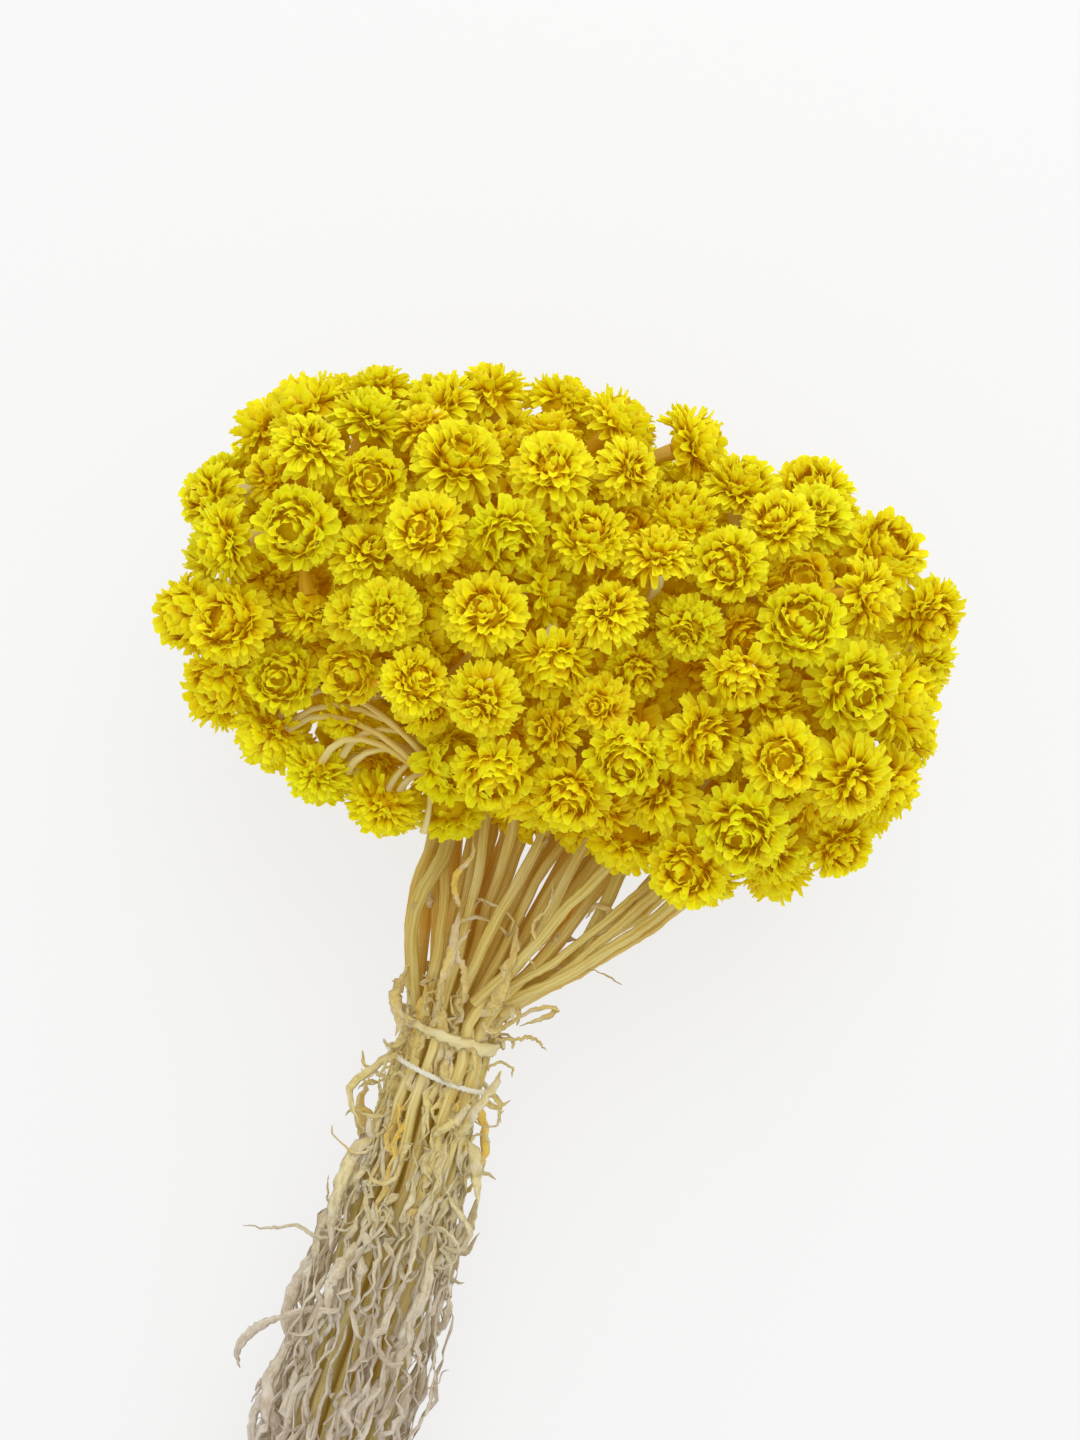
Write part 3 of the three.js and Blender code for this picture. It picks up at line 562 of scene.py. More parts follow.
# %% Helpers that add nodes to any tree, for shapes and for materials alike
def add(tree, kind, inputs=None, **settings):
    node = tree.nodes.new(kind)
    for name, value in settings.items():
        setattr(node, name, value)
    for key, value in (inputs or {}).items():
        if isinstance(value, bpy.types.NodeSocket):
            tree.links.new(value, node.inputs[key])
        else:
            node.inputs[key].default_value = value
    return node


def output_of(node):
    return next(socket for socket in node.outputs if socket.enabled)


def calc(tree, operation, *values):
    return add(tree, "ShaderNodeMath", dict(enumerate(values)), operation=operation).outputs[0]


def times(tree, a, b):
    return calc(tree, "MULTIPLY", a, b)


def vector(tree, x, y, z):
    return add(tree, "ShaderNodeCombineXYZ", {0: x, 1: y, 2: z}).outputs[0]


def map_range(tree, value, low, high, to_low, to_high):
    node = add(tree, "ShaderNodeMapRange", {"Value": value, "From Min": low, "From Max": high,
                                            "To Min": to_low, "To Max": to_high})
    return node.outputs[0]


def attribute(tree, name, data_type="FLOAT"):
    return output_of(add(tree, "GeometryNodeInputNamedAttribute", {"Name": name}, data_type=data_type))


def random_value(tree, low, high, seed):
    return add(tree, "FunctionNodeRandomValue", {2: low, 3: high, "Seed": seed}).outputs[1]


def store(tree, geometry, name, value, domain="POINT"):
    node = add(tree, "GeometryNodeStoreNamedAttribute", {"Geometry": geometry, "Name": name, "Value": value},
               data_type="FLOAT", domain=domain)
    return node.outputs[0]


# %% A new shape tree with named inputs, and a way to run it on a mesh
SOCKET_TYPES = {int: "NodeSocketInt", float: "NodeSocketFloat", bpy.types.Material: "NodeSocketMaterial",
                bpy.types.Collection: "NodeSocketCollection", bpy.types.Object: "NodeSocketObject"}


def shape_tree(name, sizes):
    tree = bpy.data.node_groups.new(name, "GeometryNodeTree")
    tree.interface.new_socket("Geometry", in_out="INPUT", socket_type="NodeSocketGeometry")
    for label, value in sizes.items():
        socket = tree.interface.new_socket(label, in_out="INPUT", socket_type=SOCKET_TYPES[type(value)])
        if isinstance(value, (int, float)):
            socket.default_value = value
    tree.interface.new_socket("Geometry", in_out="OUTPUT", socket_type="NodeSocketGeometry")
    return tree, add(tree, "NodeGroupInput").outputs, add(tree, "NodeGroupOutput").inputs


def run_tree(tree, mesh, name, sizes):
    """Set the tree's inputs by their identifiers, evaluate it, and keep the result as a plain mesh"""
    source = bpy.data.objects.new(name + "_source", mesh)
    bpy.context.scene.collection.objects.link(source)
    modifier = source.modifiers.new("shape", "NODES")
    modifier.node_group = tree
    for socket in tree.interface.items_tree:
        if socket.in_out == "INPUT" and socket.name in sizes:
            modifier[socket.identifier] = sizes[socket.name]
    graph = bpy.context.evaluated_depsgraph_get()
    shaped = source.evaluated_get(graph)
    result = bpy.data.meshes.new_from_object(shaped, preserve_all_data_layers=True, depsgraph=graph)
    bpy.data.objects.remove(source)
    bpy.data.meshes.remove(mesh)
    return show(name, result)


def show(name, mesh):
    mesh.name = name
    piece = bpy.data.objects.new(name, mesh)
    bpy.context.scene.collection.objects.link(piece)
    return piece


def hand_over(piece, slot, *nodes):
    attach(piece, "root")
    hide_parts(*nodes)


# %% One mesh from points, edges or faces, with named values on its points
def plain_mesh(name, corners, edges=(), faces=(), **values):
    mesh = bpy.data.meshes.new(name)
    mesh.from_pydata([tuple(corner) for corner in corners], edges, faces)
    for label, numbers in values.items():
        numbers = np.asarray(numbers, float)
        kind, key = ("FLOAT", "value") if numbers.ndim == 1 else ("FLOAT_VECTOR", "vector")
        layer = mesh.attributes.new(label, kind, "POINT")
        layer.data.foreach_set(key, numbers.ravel())
    return mesh


# %% [markdown]
# One bract is a little boat of dry paper: narrow at the root, widest past the middle, blunt or torn at the
# tip, cupped towards the eye. It is a closed, very thin lens of three sections with four corners each, so it
# has a top, an underside and a crisp edge, and its curl and its torn tip are real geometry. Five variants
# differ in curl and in how their tip is torn. The value "tip" runs from 0 at the root to 1 at the tip.

# %% Five bracts, with the bloom's radius as their unit
BRACT_PLACES = (0, 0.64, 1)
BRACT_WIDTHS = (0.5, 1, 0.66)
BRACT_HALF_WIDTH, BRACT_THICKNESS, BRACT_CUP, BRACT_LENGTH = 0.118, 0.018, 0.08, 0.62
# Each kind: its curl, its lean to a side, how far the tip's middle stands out, and how slanting it is torn
BRACT_KINDS = (
    (0.06, 0.0, 0.03, 0.01), (0.16, 0.06, -0.04, 0.03), (-0.08, -0.06, -0.03, -0.04),
    (0.22, 0.02, 0.0, -0.02), (0.0, -0.03, -0.06, 0.02))


def bract(name, curl, lean, point_out, torn):
    corners, tips, edges = [], [], []
    for place, wide in zip(BRACT_PLACES, BRACT_WIDTHS):
        half = BRACT_HALF_WIDTH * wide
        thick = BRACT_THICKNESS * (1.4 - place)
        side, y, z = lean * place * place, BRACT_LENGTH * place, -curl * place ** 3
        middle, slant = (y + point_out, torn) if place == 1 else (y, 0)
        corners += [(side - half, y - slant, z + BRACT_CUP * wide), (side, middle, z - thick),
                    (side + half, y + slant, z + BRACT_CUP * wide), (side, middle, z + thick)]
        tips += [place] * 4
        edges += [1, place == 1, 1, place == 1]
    rows = [range(4 * i, 4 * i + 4) for i in range(len(BRACT_PLACES))]
    faces = [tuple(rows[0]), tuple(reversed(rows[-1]))]
    for low, high in zip(rows, rows[1:]):
        faces += [(low[k], high[k], high[(k + 1) % 4], low[(k + 1) % 4]) for k in range(4)]
    mesh = plain_mesh(name, corners, faces=faces, tip=tips, edge=edges)
    mesh.polygons.foreach_set("use_smooth", [True] * len(mesh.polygons))
    for edge in mesh.edges:
        a, b = edge.vertices
        edge.use_edge_sharp = a % 4 == b % 4 and a % 2 == 0 or a // 4 == b // 4 == len(BRACT_PLACES) - 1
    return bpy.data.objects.new(name, mesh)


bract_shapes = bpy.data.collections.new("bract_shapes")
for number, kind in enumerate(BRACT_KINDS):
    bract_shapes.objects.link(bract(f"bract_{number}", *kind))


# %% [markdown]
# The finish of the bracts follows the photograph. Dry bracts are stiff, faintly shiny paper. A colour ramp
# along "tip" paints light and shade into their yellow: lemon at the tips is painted light falling through
# them, golden further in, and orange-brown at the roots is painted shade in the folds. Two random values
# then shift it, "shade" from bract to bract and "tone" from bloom to bloom, and a fine noise breaks it up,
# with a few bleached white flecks. Heads tucked deeper in are drawn more golden, which is painted shade;
# paler rims are painted light through the thin edges; and a faint orange glow is painted light in the shade.

# %% Bract paper
def new_material(name):
    material = bpy.data.materials.new(name)
    material.use_nodes = True
    tree = material.node_tree
    tree.nodes.clear()
    shader = add(tree, "ShaderNodeBsdfPrincipled")
    add(tree, "ShaderNodeOutputMaterial", {"Surface": shader.outputs[0]})
    return material, tree, shader.inputs


def link(tree, value, socket):
    tree.links.new(value, socket)


def set_values(shader, **values):
    """Set the shader's plain values; a name has an underscore where the input's has a space"""
    for name, value in values.items():
        shader[name.replace("_", " ")].default_value = value


def ramp(tree, value, stops):
    node = add(tree, "ShaderNodeValToRGB", {0: value})
    elements = node.color_ramp.elements
    while len(elements) < len(stops):
        elements.new(0.5)
    for element, (place, colour) in zip(elements, stops):
        element.position = place
        element.color = (*colour, 1)
    return node.outputs[0]


def blend(tree, share, a, b, kind="MIX"):
    node = add(tree, "ShaderNodeMix", {0: share}, data_type="RGBA", blend_type=kind)
    for index, value in ((6, a), (7, b)):
        if isinstance(value, bpy.types.NodeSocket):
            tree.links.new(value, node.inputs[index])
        else:
            node.inputs[index].default_value = (*value, 1)
    return node.outputs[2]


def surface_value(tree, name):
    return add(tree, "ShaderNodeAttribute", attribute_name=name).outputs["Fac"]


def object_noise(tree, scale, detail=2.0, stretch=(1, 1, 1)):
    place = add(tree, "ShaderNodeTexCoord").outputs["Object"]
    place = add(tree, "ShaderNodeMapping", {"Vector": place, "Scale": stretch}).outputs[0]
    return add(tree, "ShaderNodeTexNoise", {"Vector": place, "Scale": scale, "Detail": detail}).outputs[0]


def bump(tree, height, strength, distance):
    node = add(tree, "ShaderNodeBump", {"Height": height, "Strength": strength, "Distance": distance})
    return node.outputs[0]


bract_paper, tree, shader = new_material("bract_paper")
# The ramp's lemon tips are painted light through the paper, its orange-brown roots painted shade of the
# folds.
along_bract = calc(tree, "ADD", surface_value(tree, "tip"),
                   calc(tree, "MULTIPLY_ADD", object_noise(tree, 900), 0.4, -0.2))
lemon = ramp(tree, along_bract, ((0.05, (0.60, 0.22, 0.001)), (0.3, (0.82, 0.51, 0.001)),
                                 (0.55, (0.91, 0.80, 0.001)), (0.85, (0.95, 0.94, 0.004))))
golden = ramp(tree, along_bract, ((0.05, (0.55, 0.18, 0.001)), (0.35, (0.80, 0.40, 0.001)),
                                  (0.7, (0.90, 0.63, 0.001)), (1, (0.93, 0.77, 0.002))))
# Heads tucked deeper in have less fullness and turn more golden: painted shade for their depth in the crown.
deep_head_shade = calc(tree, "SUBTRACT", 1, surface_value(tree, "fullness"))
shade = calc(tree, "ADD", surface_value(tree, "shade"), times(tree, deep_head_shade, 1.2))
mixed = blend(tree, map_range(tree, shade, 0.45, 1, 0, 0.75), lemon, golden)
greenish = blend(tree, 1, mixed, (0.88, 0.98, 0.9), "MULTIPLY")
toned = blend(tree, map_range(tree, surface_value(tree, "tone"), 0.5, 1, 0, 0.8), mixed, greenish)
# Paler rims: painted light, the glow of light through the thin edges.
painted_rim_light = calc(tree, "POWER", surface_value(tree, "edge"), 3)
toned = blend(tree, times(tree, painted_rim_light, 0.5), toned, (0.97, 0.95, 0.03))
fleck = map_range(tree, object_noise(tree, 500, 1), 0.74, 0.8, 0, 0.7)
fleck = times(tree, fleck, calc(tree, "GREATER_THAN", surface_value(tree, "shade"), 0.88))
link(tree, blend(tree, fleck, toned, (0.95, 0.93, 0.75)), shader["Base Color"])
# The faint orange emission is painted light: a glow that lifts the shade between and under the bracts.
set_values(shader, Roughness=0.65, Specular_IOR_Level=0.12, Subsurface_Weight=0.3,
           Subsurface_Radius=(1, 0.7, 0.05), Subsurface_Scale=0.0018, Emission_Color=(0.9, 0.40, 0.0, 1),
           Emission_Strength=0.06)
link(tree, bump(tree, object_noise(tree, 2500, 3), 0.35, 0.0002), shader["Normal"])

# %% The tree that builds the blooms of one cluster
BRACTS = 136
EYE_ANGLE, LAST_ANGLE, LAST_HANGING = 0.1, 1.98, 2.5
CROWDING = 1.25                                 # above 1, the bracts stand closer near the eye
bloom_tree, given, result = shape_tree("blooms", {
    "Bracts per bloom": BRACTS, "Bract shapes": bract_shapes, "Eye angle": EYE_ANGLE,
    "Table softness": MM, "Material": bract_paper})
tree = bloom_tree
fullness = attribute(tree, "fullness")
bract_count = times(tree, given["Bracts per bloom"], fullness)
many = add(tree, "GeometryNodeDuplicateElements", {"Geometry": given["Geometry"], "Amount": bract_count},
           domain="POINT")
turn_number = many.outputs["Duplicate Index"]
rank = calc(tree, "DIVIDE", calc(tree, "ADD", turn_number, 0.5), bract_count)
eye, last = calc(tree, "COSINE", given["Eye angle"]), calc(tree, "COSINE", attribute(tree, "last_angle"))
lower = times(tree, calc(tree, "POWER", rank, CROWDING), calc(tree, "SUBTRACT", eye, last))
height = calc(tree, "SUBTRACT", eye, lower)
polar = calc(tree, "ADD", calc(tree, "ARCCOSINE", height), random_value(tree, -0.08, 0.08, 11))
turn = calc(tree, "ADD", calc(tree, "MULTIPLY_ADD", turn_number, GOLDEN_ANGLE, attribute(tree, "spin")),
            random_value(tree, -0.16, 0.16, 12))
cos_turn, sin_turn = calc(tree, "COSINE", turn), calc(tree, "SINE", turn)
cos_polar, sin_polar = calc(tree, "COSINE", polar), calc(tree, "SINE", polar)

# %% Where a bract's tip lies on its bloom, and which way the bract points
HEAD_WIDTH, HEAD_TOP, HEAD_UNDERSIDE, HEAD_DROP = 0.97, 0.9, 0.55, -0.1
tip_out = times(tree, sin_polar, HEAD_WIDTH)
tall = times(tree, calc(tree, "MAXIMUM", cos_polar, 0), HEAD_TOP)
deep = times(tree, calc(tree, "MINIMUM", cos_polar, 0), HEAD_UNDERSIDE)
tip_up = calc(tree, "ADD", calc(tree, "ADD", tall, deep), HEAD_DROP)
INWARD, LEAN_RANGE = 0.2, 1.25 * math.pi
LEANING_OPEN = ((0, 0.22), (0.1, 0.36), (0.2, 0.48), (0.3, 0.54), (0.5, 0.61), (0.75, 0.67), (0.9, 0.69),
                (1, 0.65))
LEANING_SHUT = ((0, 0.03), (0.1, 0.06), (0.2, 0.1), (0.3, 0.17), (0.4, 0.26), (0.5, 0.39), (0.7, 0.59),
                (0.85, 0.68), (1, 0.69))


def leaning(places):
    """A bract's lean from the bloom's axis by its rank; the places' values are spread over LEAN_RANGE"""
    node = add(tree, "ShaderNodeFloatCurve", {"Value": rank})
    curve = node.mapping.curves[0]
    while len(curve.points) < len(places):
        curve.points.new(0.5, 0.5)
    for point, place in zip(curve.points, places):
        point.location = place
    node.mapping.update()
    return times(tree, calc(tree, "SUBTRACT", node.outputs[0], INWARD), LEAN_RANGE)


lean = add(tree, "ShaderNodeMix", {0: attribute(tree, "open"), 2: leaning(LEANING_SHUT),
                                   3: leaning(LEANING_OPEN)}).outputs[0]
sin_lean, cos_lean = calc(tree, "SINE", lean), calc(tree, "COSINE", lean)
length = times(tree, map_range(tree, rank, 0, 0.7, 0.36, 0.68), random_value(tree, 0.86, 1.1, 18))
root_out = calc(tree, "SUBTRACT", tip_out, times(tree, length, sin_lean))
root_up = calc(tree, "SUBTRACT", tip_up, times(tree, length, cos_lean))


def round_axis(out, up):
    return vector(tree, times(tree, out, cos_turn), times(tree, out, sin_turn), up)


root = round_axis(root_out, root_up)
pointing = round_axis(sin_lean, cos_lean)
facing = round_axis(times(tree, cos_lean, -1), sin_lean)

# %% Turn it all to the bloom's axis, and set one bract on every point
to_axis = add(tree, "FunctionNodeAlignRotationToVector", {"Vector": attribute(tree, "axis", "FLOAT_VECTOR")},
              axis="Z").outputs[0]
root, pointing, facing = (
    add(tree, "FunctionNodeRotateVector", {"Vector": value, "Rotation": to_axis}).outputs[0]
    for value in (root, pointing, facing))
size = attribute(tree, "size")
shift = add(tree, "ShaderNodeVectorMath", {0: root, "Scale": size}, operation="SCALE").outputs[0]
set_out = add(tree, "GeometryNodeSetPosition", {"Geometry": many.outputs["Geometry"], "Offset": shift})
points_out = store(tree, set_out.outputs[0], "shade", random_value(tree, 0.0, 1.0, 13))
turned = add(tree, "FunctionNodeAxesToRotation", {0: pointing, 1: facing}, primary_axis="Y",
             secondary_axis="Z").outputs[0]
wobble = vector(tree, *(random_value(tree, -w, w, 14 + i) for i, w in enumerate((0.2, 0.3, 0.22))))
wobble = add(tree, "ShaderNodeVectorMath", {0: wobble, "Scale": map_range(tree, rank, 0.1, 0.9, 0.5, 1.3)},
             operation="SCALE").outputs[0]
wobble = add(tree, "FunctionNodeEulerToRotation", {0: wobble}).outputs[0]
turned = add(tree, "FunctionNodeRotateRotation", {0: turned, 1: wobble}, rotation_space="LOCAL").outputs[0]
stretch = times(tree, size, calc(tree, "DIVIDE", length, BRACT_LENGTH))
breadth = map_range(tree, calc(tree, "ADD", rank, attribute(tree, "open")), 0.15, 1.1, 1.5, 0.95)
breadth = times(tree, breadth, map_range(tree, rank, 0, 0.2, 0.8, 1))
breadth = times(tree, breadth, calc(tree, "POWER", fullness, -0.5))
broad = times(tree, size, breadth)
shapes = add(tree, "GeometryNodeCollectionInfo", {"Collection": given["Bract shapes"],
                                                  "Separate Children": True, "Reset Children": True})
which = add(tree, "FunctionNodeRandomValue", {4: 0, 5: len(BRACT_KINDS) - 1, "Seed": 17}, data_type="INT")
bracts_set = add(tree, "GeometryNodeInstanceOnPoints", {
    "Points": points_out, "Instance": shapes.outputs[0], "Pick Instance": True,
    "Instance Index": which.outputs[2], "Rotation": turned, "Scale": vector(tree, broad, stretch, size)})

# %% A small core behind the bracts, then the finish, and the side that lies on the table
ball = add(tree, "GeometryNodeMeshIcoSphere", {"Radius": 0.5, "Subdivisions": 2})
core = add(tree, "GeometryNodeInstanceOnPoints", {
    "Points": given["Geometry"], "Instance": ball.outputs[0], "Rotation": to_axis,
    "Scale": vector(tree, size, size, times(tree, size, 0.8))})
both = add(tree, "GeometryNodeJoinGeometry")
for part in (bracts_set.outputs[0], store(tree, core.outputs[0], "tip", 0.4, "INSTANCE")):
    link(tree, part, both.inputs[0])
solid = add(tree, "GeometryNodeRealizeInstances", {"Geometry": both.outputs[0]}).outputs[0]


def pressed_on_table(tree, geometry, softness):
    """What would sink into the table is pressed into a thin layer on it"""
    place = add(tree, "ShaderNodeSeparateXYZ", {0: add(tree, "GeometryNodeInputPosition").outputs[0]}).outputs
    low = calc(tree, "EXPONENT", calc(tree, "SUBTRACT", calc(tree, "DIVIDE", place[2], softness), 1))
    low = times(tree, softness, low)
    under = calc(tree, "LESS_THAN", place[2], softness)
    pressed = vector(tree, place[0], place[1], low)
    return add(tree, "GeometryNodeSetPosition", {
        "Geometry": geometry, "Selection": under, "Position": pressed}).outputs[0]


solid = pressed_on_table(tree, solid, given["Table softness"])
for name in ("axis", "size", "open", "spin", "last_angle"):
    solid = add(tree, "GeometryNodeRemoveAttribute", {"Geometry": solid, "Name": name}).outputs[0]
solid = add(tree, "GeometryNodeSetMaterial", {"Geometry": solid, "Material": given["Material"]}).outputs[0]
link(tree, solid, result["Geometry"])

# %% [markdown]
# The CAD solids keep a gap between any two blooms, as separate solids must. Real heads are soft enough to
# nudge into one another, and small late ones sit tucked between the large ones. So every head is drawn a
# little larger than its solid, its axis is tilted by a few degrees, and over a hundred smaller heads are
# added where the crown would otherwise show a hole. Those deeper in have fewer bracts, for little of them
# is seen. Each of these joins the cluster whose hub is nearest.

# %% Small heads tucked into the holes: one layer just under the crown's face, and two deeper in
def tuck_in(count, depth, biggest, random):
    """Middles and radii of heads, each set in the widest hole that is left"""
    shell = to_shell(CROWN_CENTRE + random.normal(size=(9000, 3)), CROWN_HALF)
    shell -= crown_normal(shell) * random.uniform(*depth, (len(shell), 1))
    for at, size in OPEN_SPACES:
        shell = shell[np.linalg.norm(shell - at, axis=1) > size + biggest]
    shell = shell[(shell[:, 2] > 6) & (shell[:, 1] > np.where(shell[:, 0] < -14, 33, 38))]
    middles, radii = bloom_middle, bloom_radius
    for number in range(count):
        free = (np.linalg.norm(shell[:, None] - middles[None], axis=2) - radii).min(1)
        best = int(np.argmax(free))
        middles = np.vstack([middles, shell[best]])
        radii = np.append(radii, np.clip(free[best] + 1.1, 2.8, biggest))
    return middles, radii


random = np.random.default_rng(21)
placed = len(bloom_middle)
fullness = np.ones(placed)
# Each layer: how many heads, how deep they lie, the largest radius, and their share of the bracts
TUCKED_LAYERS = ((56, (1.5, 5.5), 3.9, 0.68), (38, (7, 12), 4.6, 0.45), (30, (13, 19), 5, 0.3))
for count, depth, biggest, full in TUCKED_LAYERS:
    bloom_middle, bloom_radius = tuck_in(count, depth, biggest, random)
    fullness = np.append(fullness, np.full(count, full))
added = np.arange(placed, len(bloom_middle))
hubs = stem_lines[:, -1]
nearest_hub = np.linalg.norm(bloom_middle[added, None] - hubs[None], axis=2).argmin(1)
bloom_group = np.append(bloom_group, nearest_hub)
stalk_way = np.vstack([stalk_way, unit(bloom_middle[added] - hubs[nearest_hub])])
bloom_axis = np.vstack([bloom_axis, unit(stalk_way[added] + 1.5 * crown_normal(bloom_middle[added]))])
smallest, largest = bloom_radius[added].min(), bloom_radius[added].max()
print(f"{len(added)} tucked heads, radius {smallest:.1f} to {largest:.1f} mm")

# %% Build the blooms, one mesh for each cluster
BLOOM_SCALE, BLOOM_TILT, HANGING_WAY = 1.16, 0.34, (-0.25, -0.8, -0.45)
bloom_axis = unit(bloom_axis + BLOOM_TILT * random.normal(size=bloom_axis.shape))
x, y, z = bloom_middle[:placed].T
hanging = np.flatnonzero((x > -36) & (x < -14) & (y < 47) & (z > 30))
bloom_axis[hanging] = unit(0.3 * bloom_axis[hanging] + HANGING_WAY)
last_angle = np.full(len(bloom_middle), LAST_ANGLE)
last_angle[hanging], fullness[hanging] = LAST_HANGING, 1.3
bloom_tone = random.random(len(bloom_middle))
bloom_open = 0.05 + 0.7 * random.random(len(bloom_middle))
bloom_spin = random.random(len(bloom_middle)) * 2 * math.pi
triangles = 0
for group in range(len(CLUSTERS)):
    own = bloom_group == group
    name = f"blooms_{group + 1:02d}"
    seeds = plain_mesh(name + "_seeds", in_frame(bloom_middle[own]), axis=bloom_axis[own],
                       size=bloom_radius[own] * BLOOM_SCALE * MM, open=bloom_open[own],
                       spin=bloom_spin[own], tone=bloom_tone[own], fullness=fullness[own],
                       last_angle=last_angle[own])
    piece = run_tree(bloom_tree, seeds, name, {
        "Bracts per bloom": BRACTS, "Bract shapes": bract_shapes, "Eye angle": EYE_ANGLE,
        "Table softness": MM, "Material": bract_paper})
    hand_over(piece, "bloom", f"flower_cluster_{group + 1:02d}")
    triangles += sum(len(face.vertices) - 2 for face in piece.data.polygons)
for shape in list(bract_shapes.objects):
    bpy.data.objects.remove(shape)
bpy.data.collections.remove(bract_shapes)
print(f"{len(bloom_middle)} blooms, {triangles} triangles")

# %% [markdown]
# Under every bloom a pale, thin stalk runs down to the hub where its spray parts. It is thinnest halfway
# and flares like a trumpet where it meets the bloom. Stalks and stems are the same kind of thing, a
# round section drawn along a curve, so one tree makes both: it turns a chain of points into a smooth curve
# through them, gives it the width stored on the points, sweeps a ridged section along it, and stores how
# far along and how far round each point of the surface lies, so that the fibres can follow it. At the
# lower left a spray droops: its heads hang, on a bundle of pale stalks that arch over from the stems.

# %% A tree that draws a section along every chain of points
def ridged_section(name, sides, ridge):
    angles = np.arange(sides) * 2 * math.pi / sides
    reach = 1 - ridge * (np.arange(sides) % 2)
    corners = np.stack([reach * np.cos(angles), reach * np.sin(angles), np.zeros(sides)], 1)
    around = [np.cos(angles), np.sin(angles)]
    mesh = plain_mesh(name, corners, edges=[(i, (i + 1) % sides) for i in range(sides)],
                      around_x=around[0], around_y=around[1])
    return bpy.data.objects.new(name, mesh)


round_section = ridged_section("round_section", 7, 0.0)
stem_section = ridged_section("stem_section", 10, 0.07)
strand_tree, given, result = shape_tree("strands", {
    "Section": round_section, "Steps": 24, "Waviness": 0.1 * MM, "Roughness": 0.02 * MM,
    "Table softness": 0.5 * MM, "Material": bract_paper})
tree = strand_tree
curve = add(tree, "GeometryNodeMeshToCurve", {"Mesh": given["Geometry"]})
curve = add(tree, "GeometryNodeCurveSplineType", {"Curve": curve.outputs[0]}, spline_type="CATMULL_ROM")
curve = add(tree, "GeometryNodeResampleCurve", {"Curve": curve.outputs[0], "Count": given["Steps"]})
along = add(tree, "GeometryNodeSplineParameter").outputs["Length"]
curve = store(tree, curve.outputs[0], "along", along)


def wandering(tree, scale, size, w):
    """A smooth offset that differs from place to place, of about the given size"""
    place = add(tree, "GeometryNodeInputPosition").outputs[0]
    noise = add(tree, "ShaderNodeTexNoise", {"Vector": place, "W": w, "Scale": scale, "Detail": 1.0},
                noise_dimensions="4D")
    centred = add(tree, "ShaderNodeVectorMath", {0: noise.outputs["Color"], 1: (0.5, 0.5, 0.5)},
                  operation="SUBTRACT")
    doubled = times(tree, size, 4)
    return add(tree, "ShaderNodeVectorMath", {0: centred.outputs[0], "Scale": doubled},
               operation="SCALE").outputs[0]


curve = add(tree, "GeometryNodeSetPosition", {"Geometry": curve,
                                              "Offset": wandering(tree, 110, given["Waviness"], 0.0)})
section = add(tree, "GeometryNodeObjectInfo", {"Object": given["Section"]}).outputs["Geometry"]
section = add(tree, "GeometryNodeMeshToCurve", {"Mesh": section})
tube = add(tree, "GeometryNodeCurveToMesh", {"Curve": curve.outputs[0], "Profile Curve": section.outputs[0],
                                             "Scale": attribute(tree, "thick"), "Fill Caps": True})
tube = add(tree, "GeometryNodeSetPosition", {"Geometry": tube.outputs[0],
                                             "Offset": wandering(tree, 900, given["Roughness"], 4.0)})
tube = add(tree, "GeometryNodeRealizeInstances", {"Geometry": tube.outputs[0]}).outputs[0]
tube = pressed_on_table(tree, tube, given["Table softness"])
tube = add(tree, "GeometryNodeSetShadeSmooth", {"Geometry": tube}).outputs[0]
tube = add(tree, "GeometryNodeRemoveAttribute", {"Geometry": tube, "Name": "thick"}).outputs[0]
tube = add(tree, "GeometryNodeSetMaterial", {"Geometry": tube, "Material": given["Material"]}).outputs[0]
link(tree, tube, result["Geometry"])


# %% Chains of points as one mesh of edges, and a piece of strands along them
def chains(name, paths, **values):
    corners, edges, stored = [], [], {label: [] for label in values}
    for number, path in enumerate(paths):
        first = len(corners)
        corners += list(path)
        edges += [(first + i, first + i + 1) for i in range(len(path) - 1)]
        for label, rows in values.items():
            stored[label] += list(np.broadcast_to(rows[number], len(path)))
    return plain_mesh(name, corners, edges=edges, **stored)


def show_strands(name, lines, section, steps, waviness, roughness, softness, material, slot, node):
    """One piece of strands, with its lengths in millimetres"""
    piece = run_tree(strand_tree, lines, name, {
        "Section": section, "Steps": steps, "Waviness": waviness * MM, "Roughness": roughness * MM,
        "Table softness": softness * MM, "Material": material})
    hand_over(piece, slot, node)
    return sum(len(face.vertices) - 2 for face in piece.data.polygons)


def smooth_step(value, low, high):
    share = np.clip((value - low) / (high - low), 0, 1)
    return share * share * (3 - 2 * share)


def bend(a, b, c, d, count):
    t = np.linspace(0, 1, count)[:, None]
    return (1 - t) ** 3 * a + 3 * (1 - t) ** 2 * t * b + 3 * (1 - t) * t * t * c + t ** 3 * d


# %% [markdown]
# Stems and stalks are straw: dull, pale khaki, with lengthwise fibres, yellower where the dye of the blooms
# has run down into them and greyer towards the cut ends. Low in the fan the stems are painted deep orange,
# and so are most stalks: painted shade, for the light among them is orange. A faint glow, painted light,
# lifts their shade. The fibre pattern reads the stored place round and along each strand, so it runs with
# the strand whichever way that bends.

# %% Straw
def fibres(tree, fineness, speed, detail=3.0):
    place = vector(tree, times(tree, surface_value(tree, "around_x"), fineness),
                   times(tree, surface_value(tree, "around_y"), fineness),
                   times(tree, surface_value(tree, "along"), speed))
    return add(tree, "ShaderNodeTexNoise", {"Vector": place, "Scale": 1.0, "Detail": detail}).outputs[0]


def along_bunch(tree):
    """The place along the bunch in millimetres from the tie"""
    place = add(tree, "ShaderNodeTexCoord").outputs["Object"]
    y = add(tree, "ShaderNodeSeparateXYZ", {0: place}).outputs[1]
    return calc(tree, "MULTIPLY_ADD", y, 1 / MM, -SHIFT[1])


def above_table(tree):
    """The height over the table in millimetres"""
    place = add(tree, "ShaderNodeTexCoord").outputs["Object"]
    return calc(tree, "DIVIDE", add(tree, "ShaderNodeSeparateXYZ", {0: place}).outputs[2], MM)


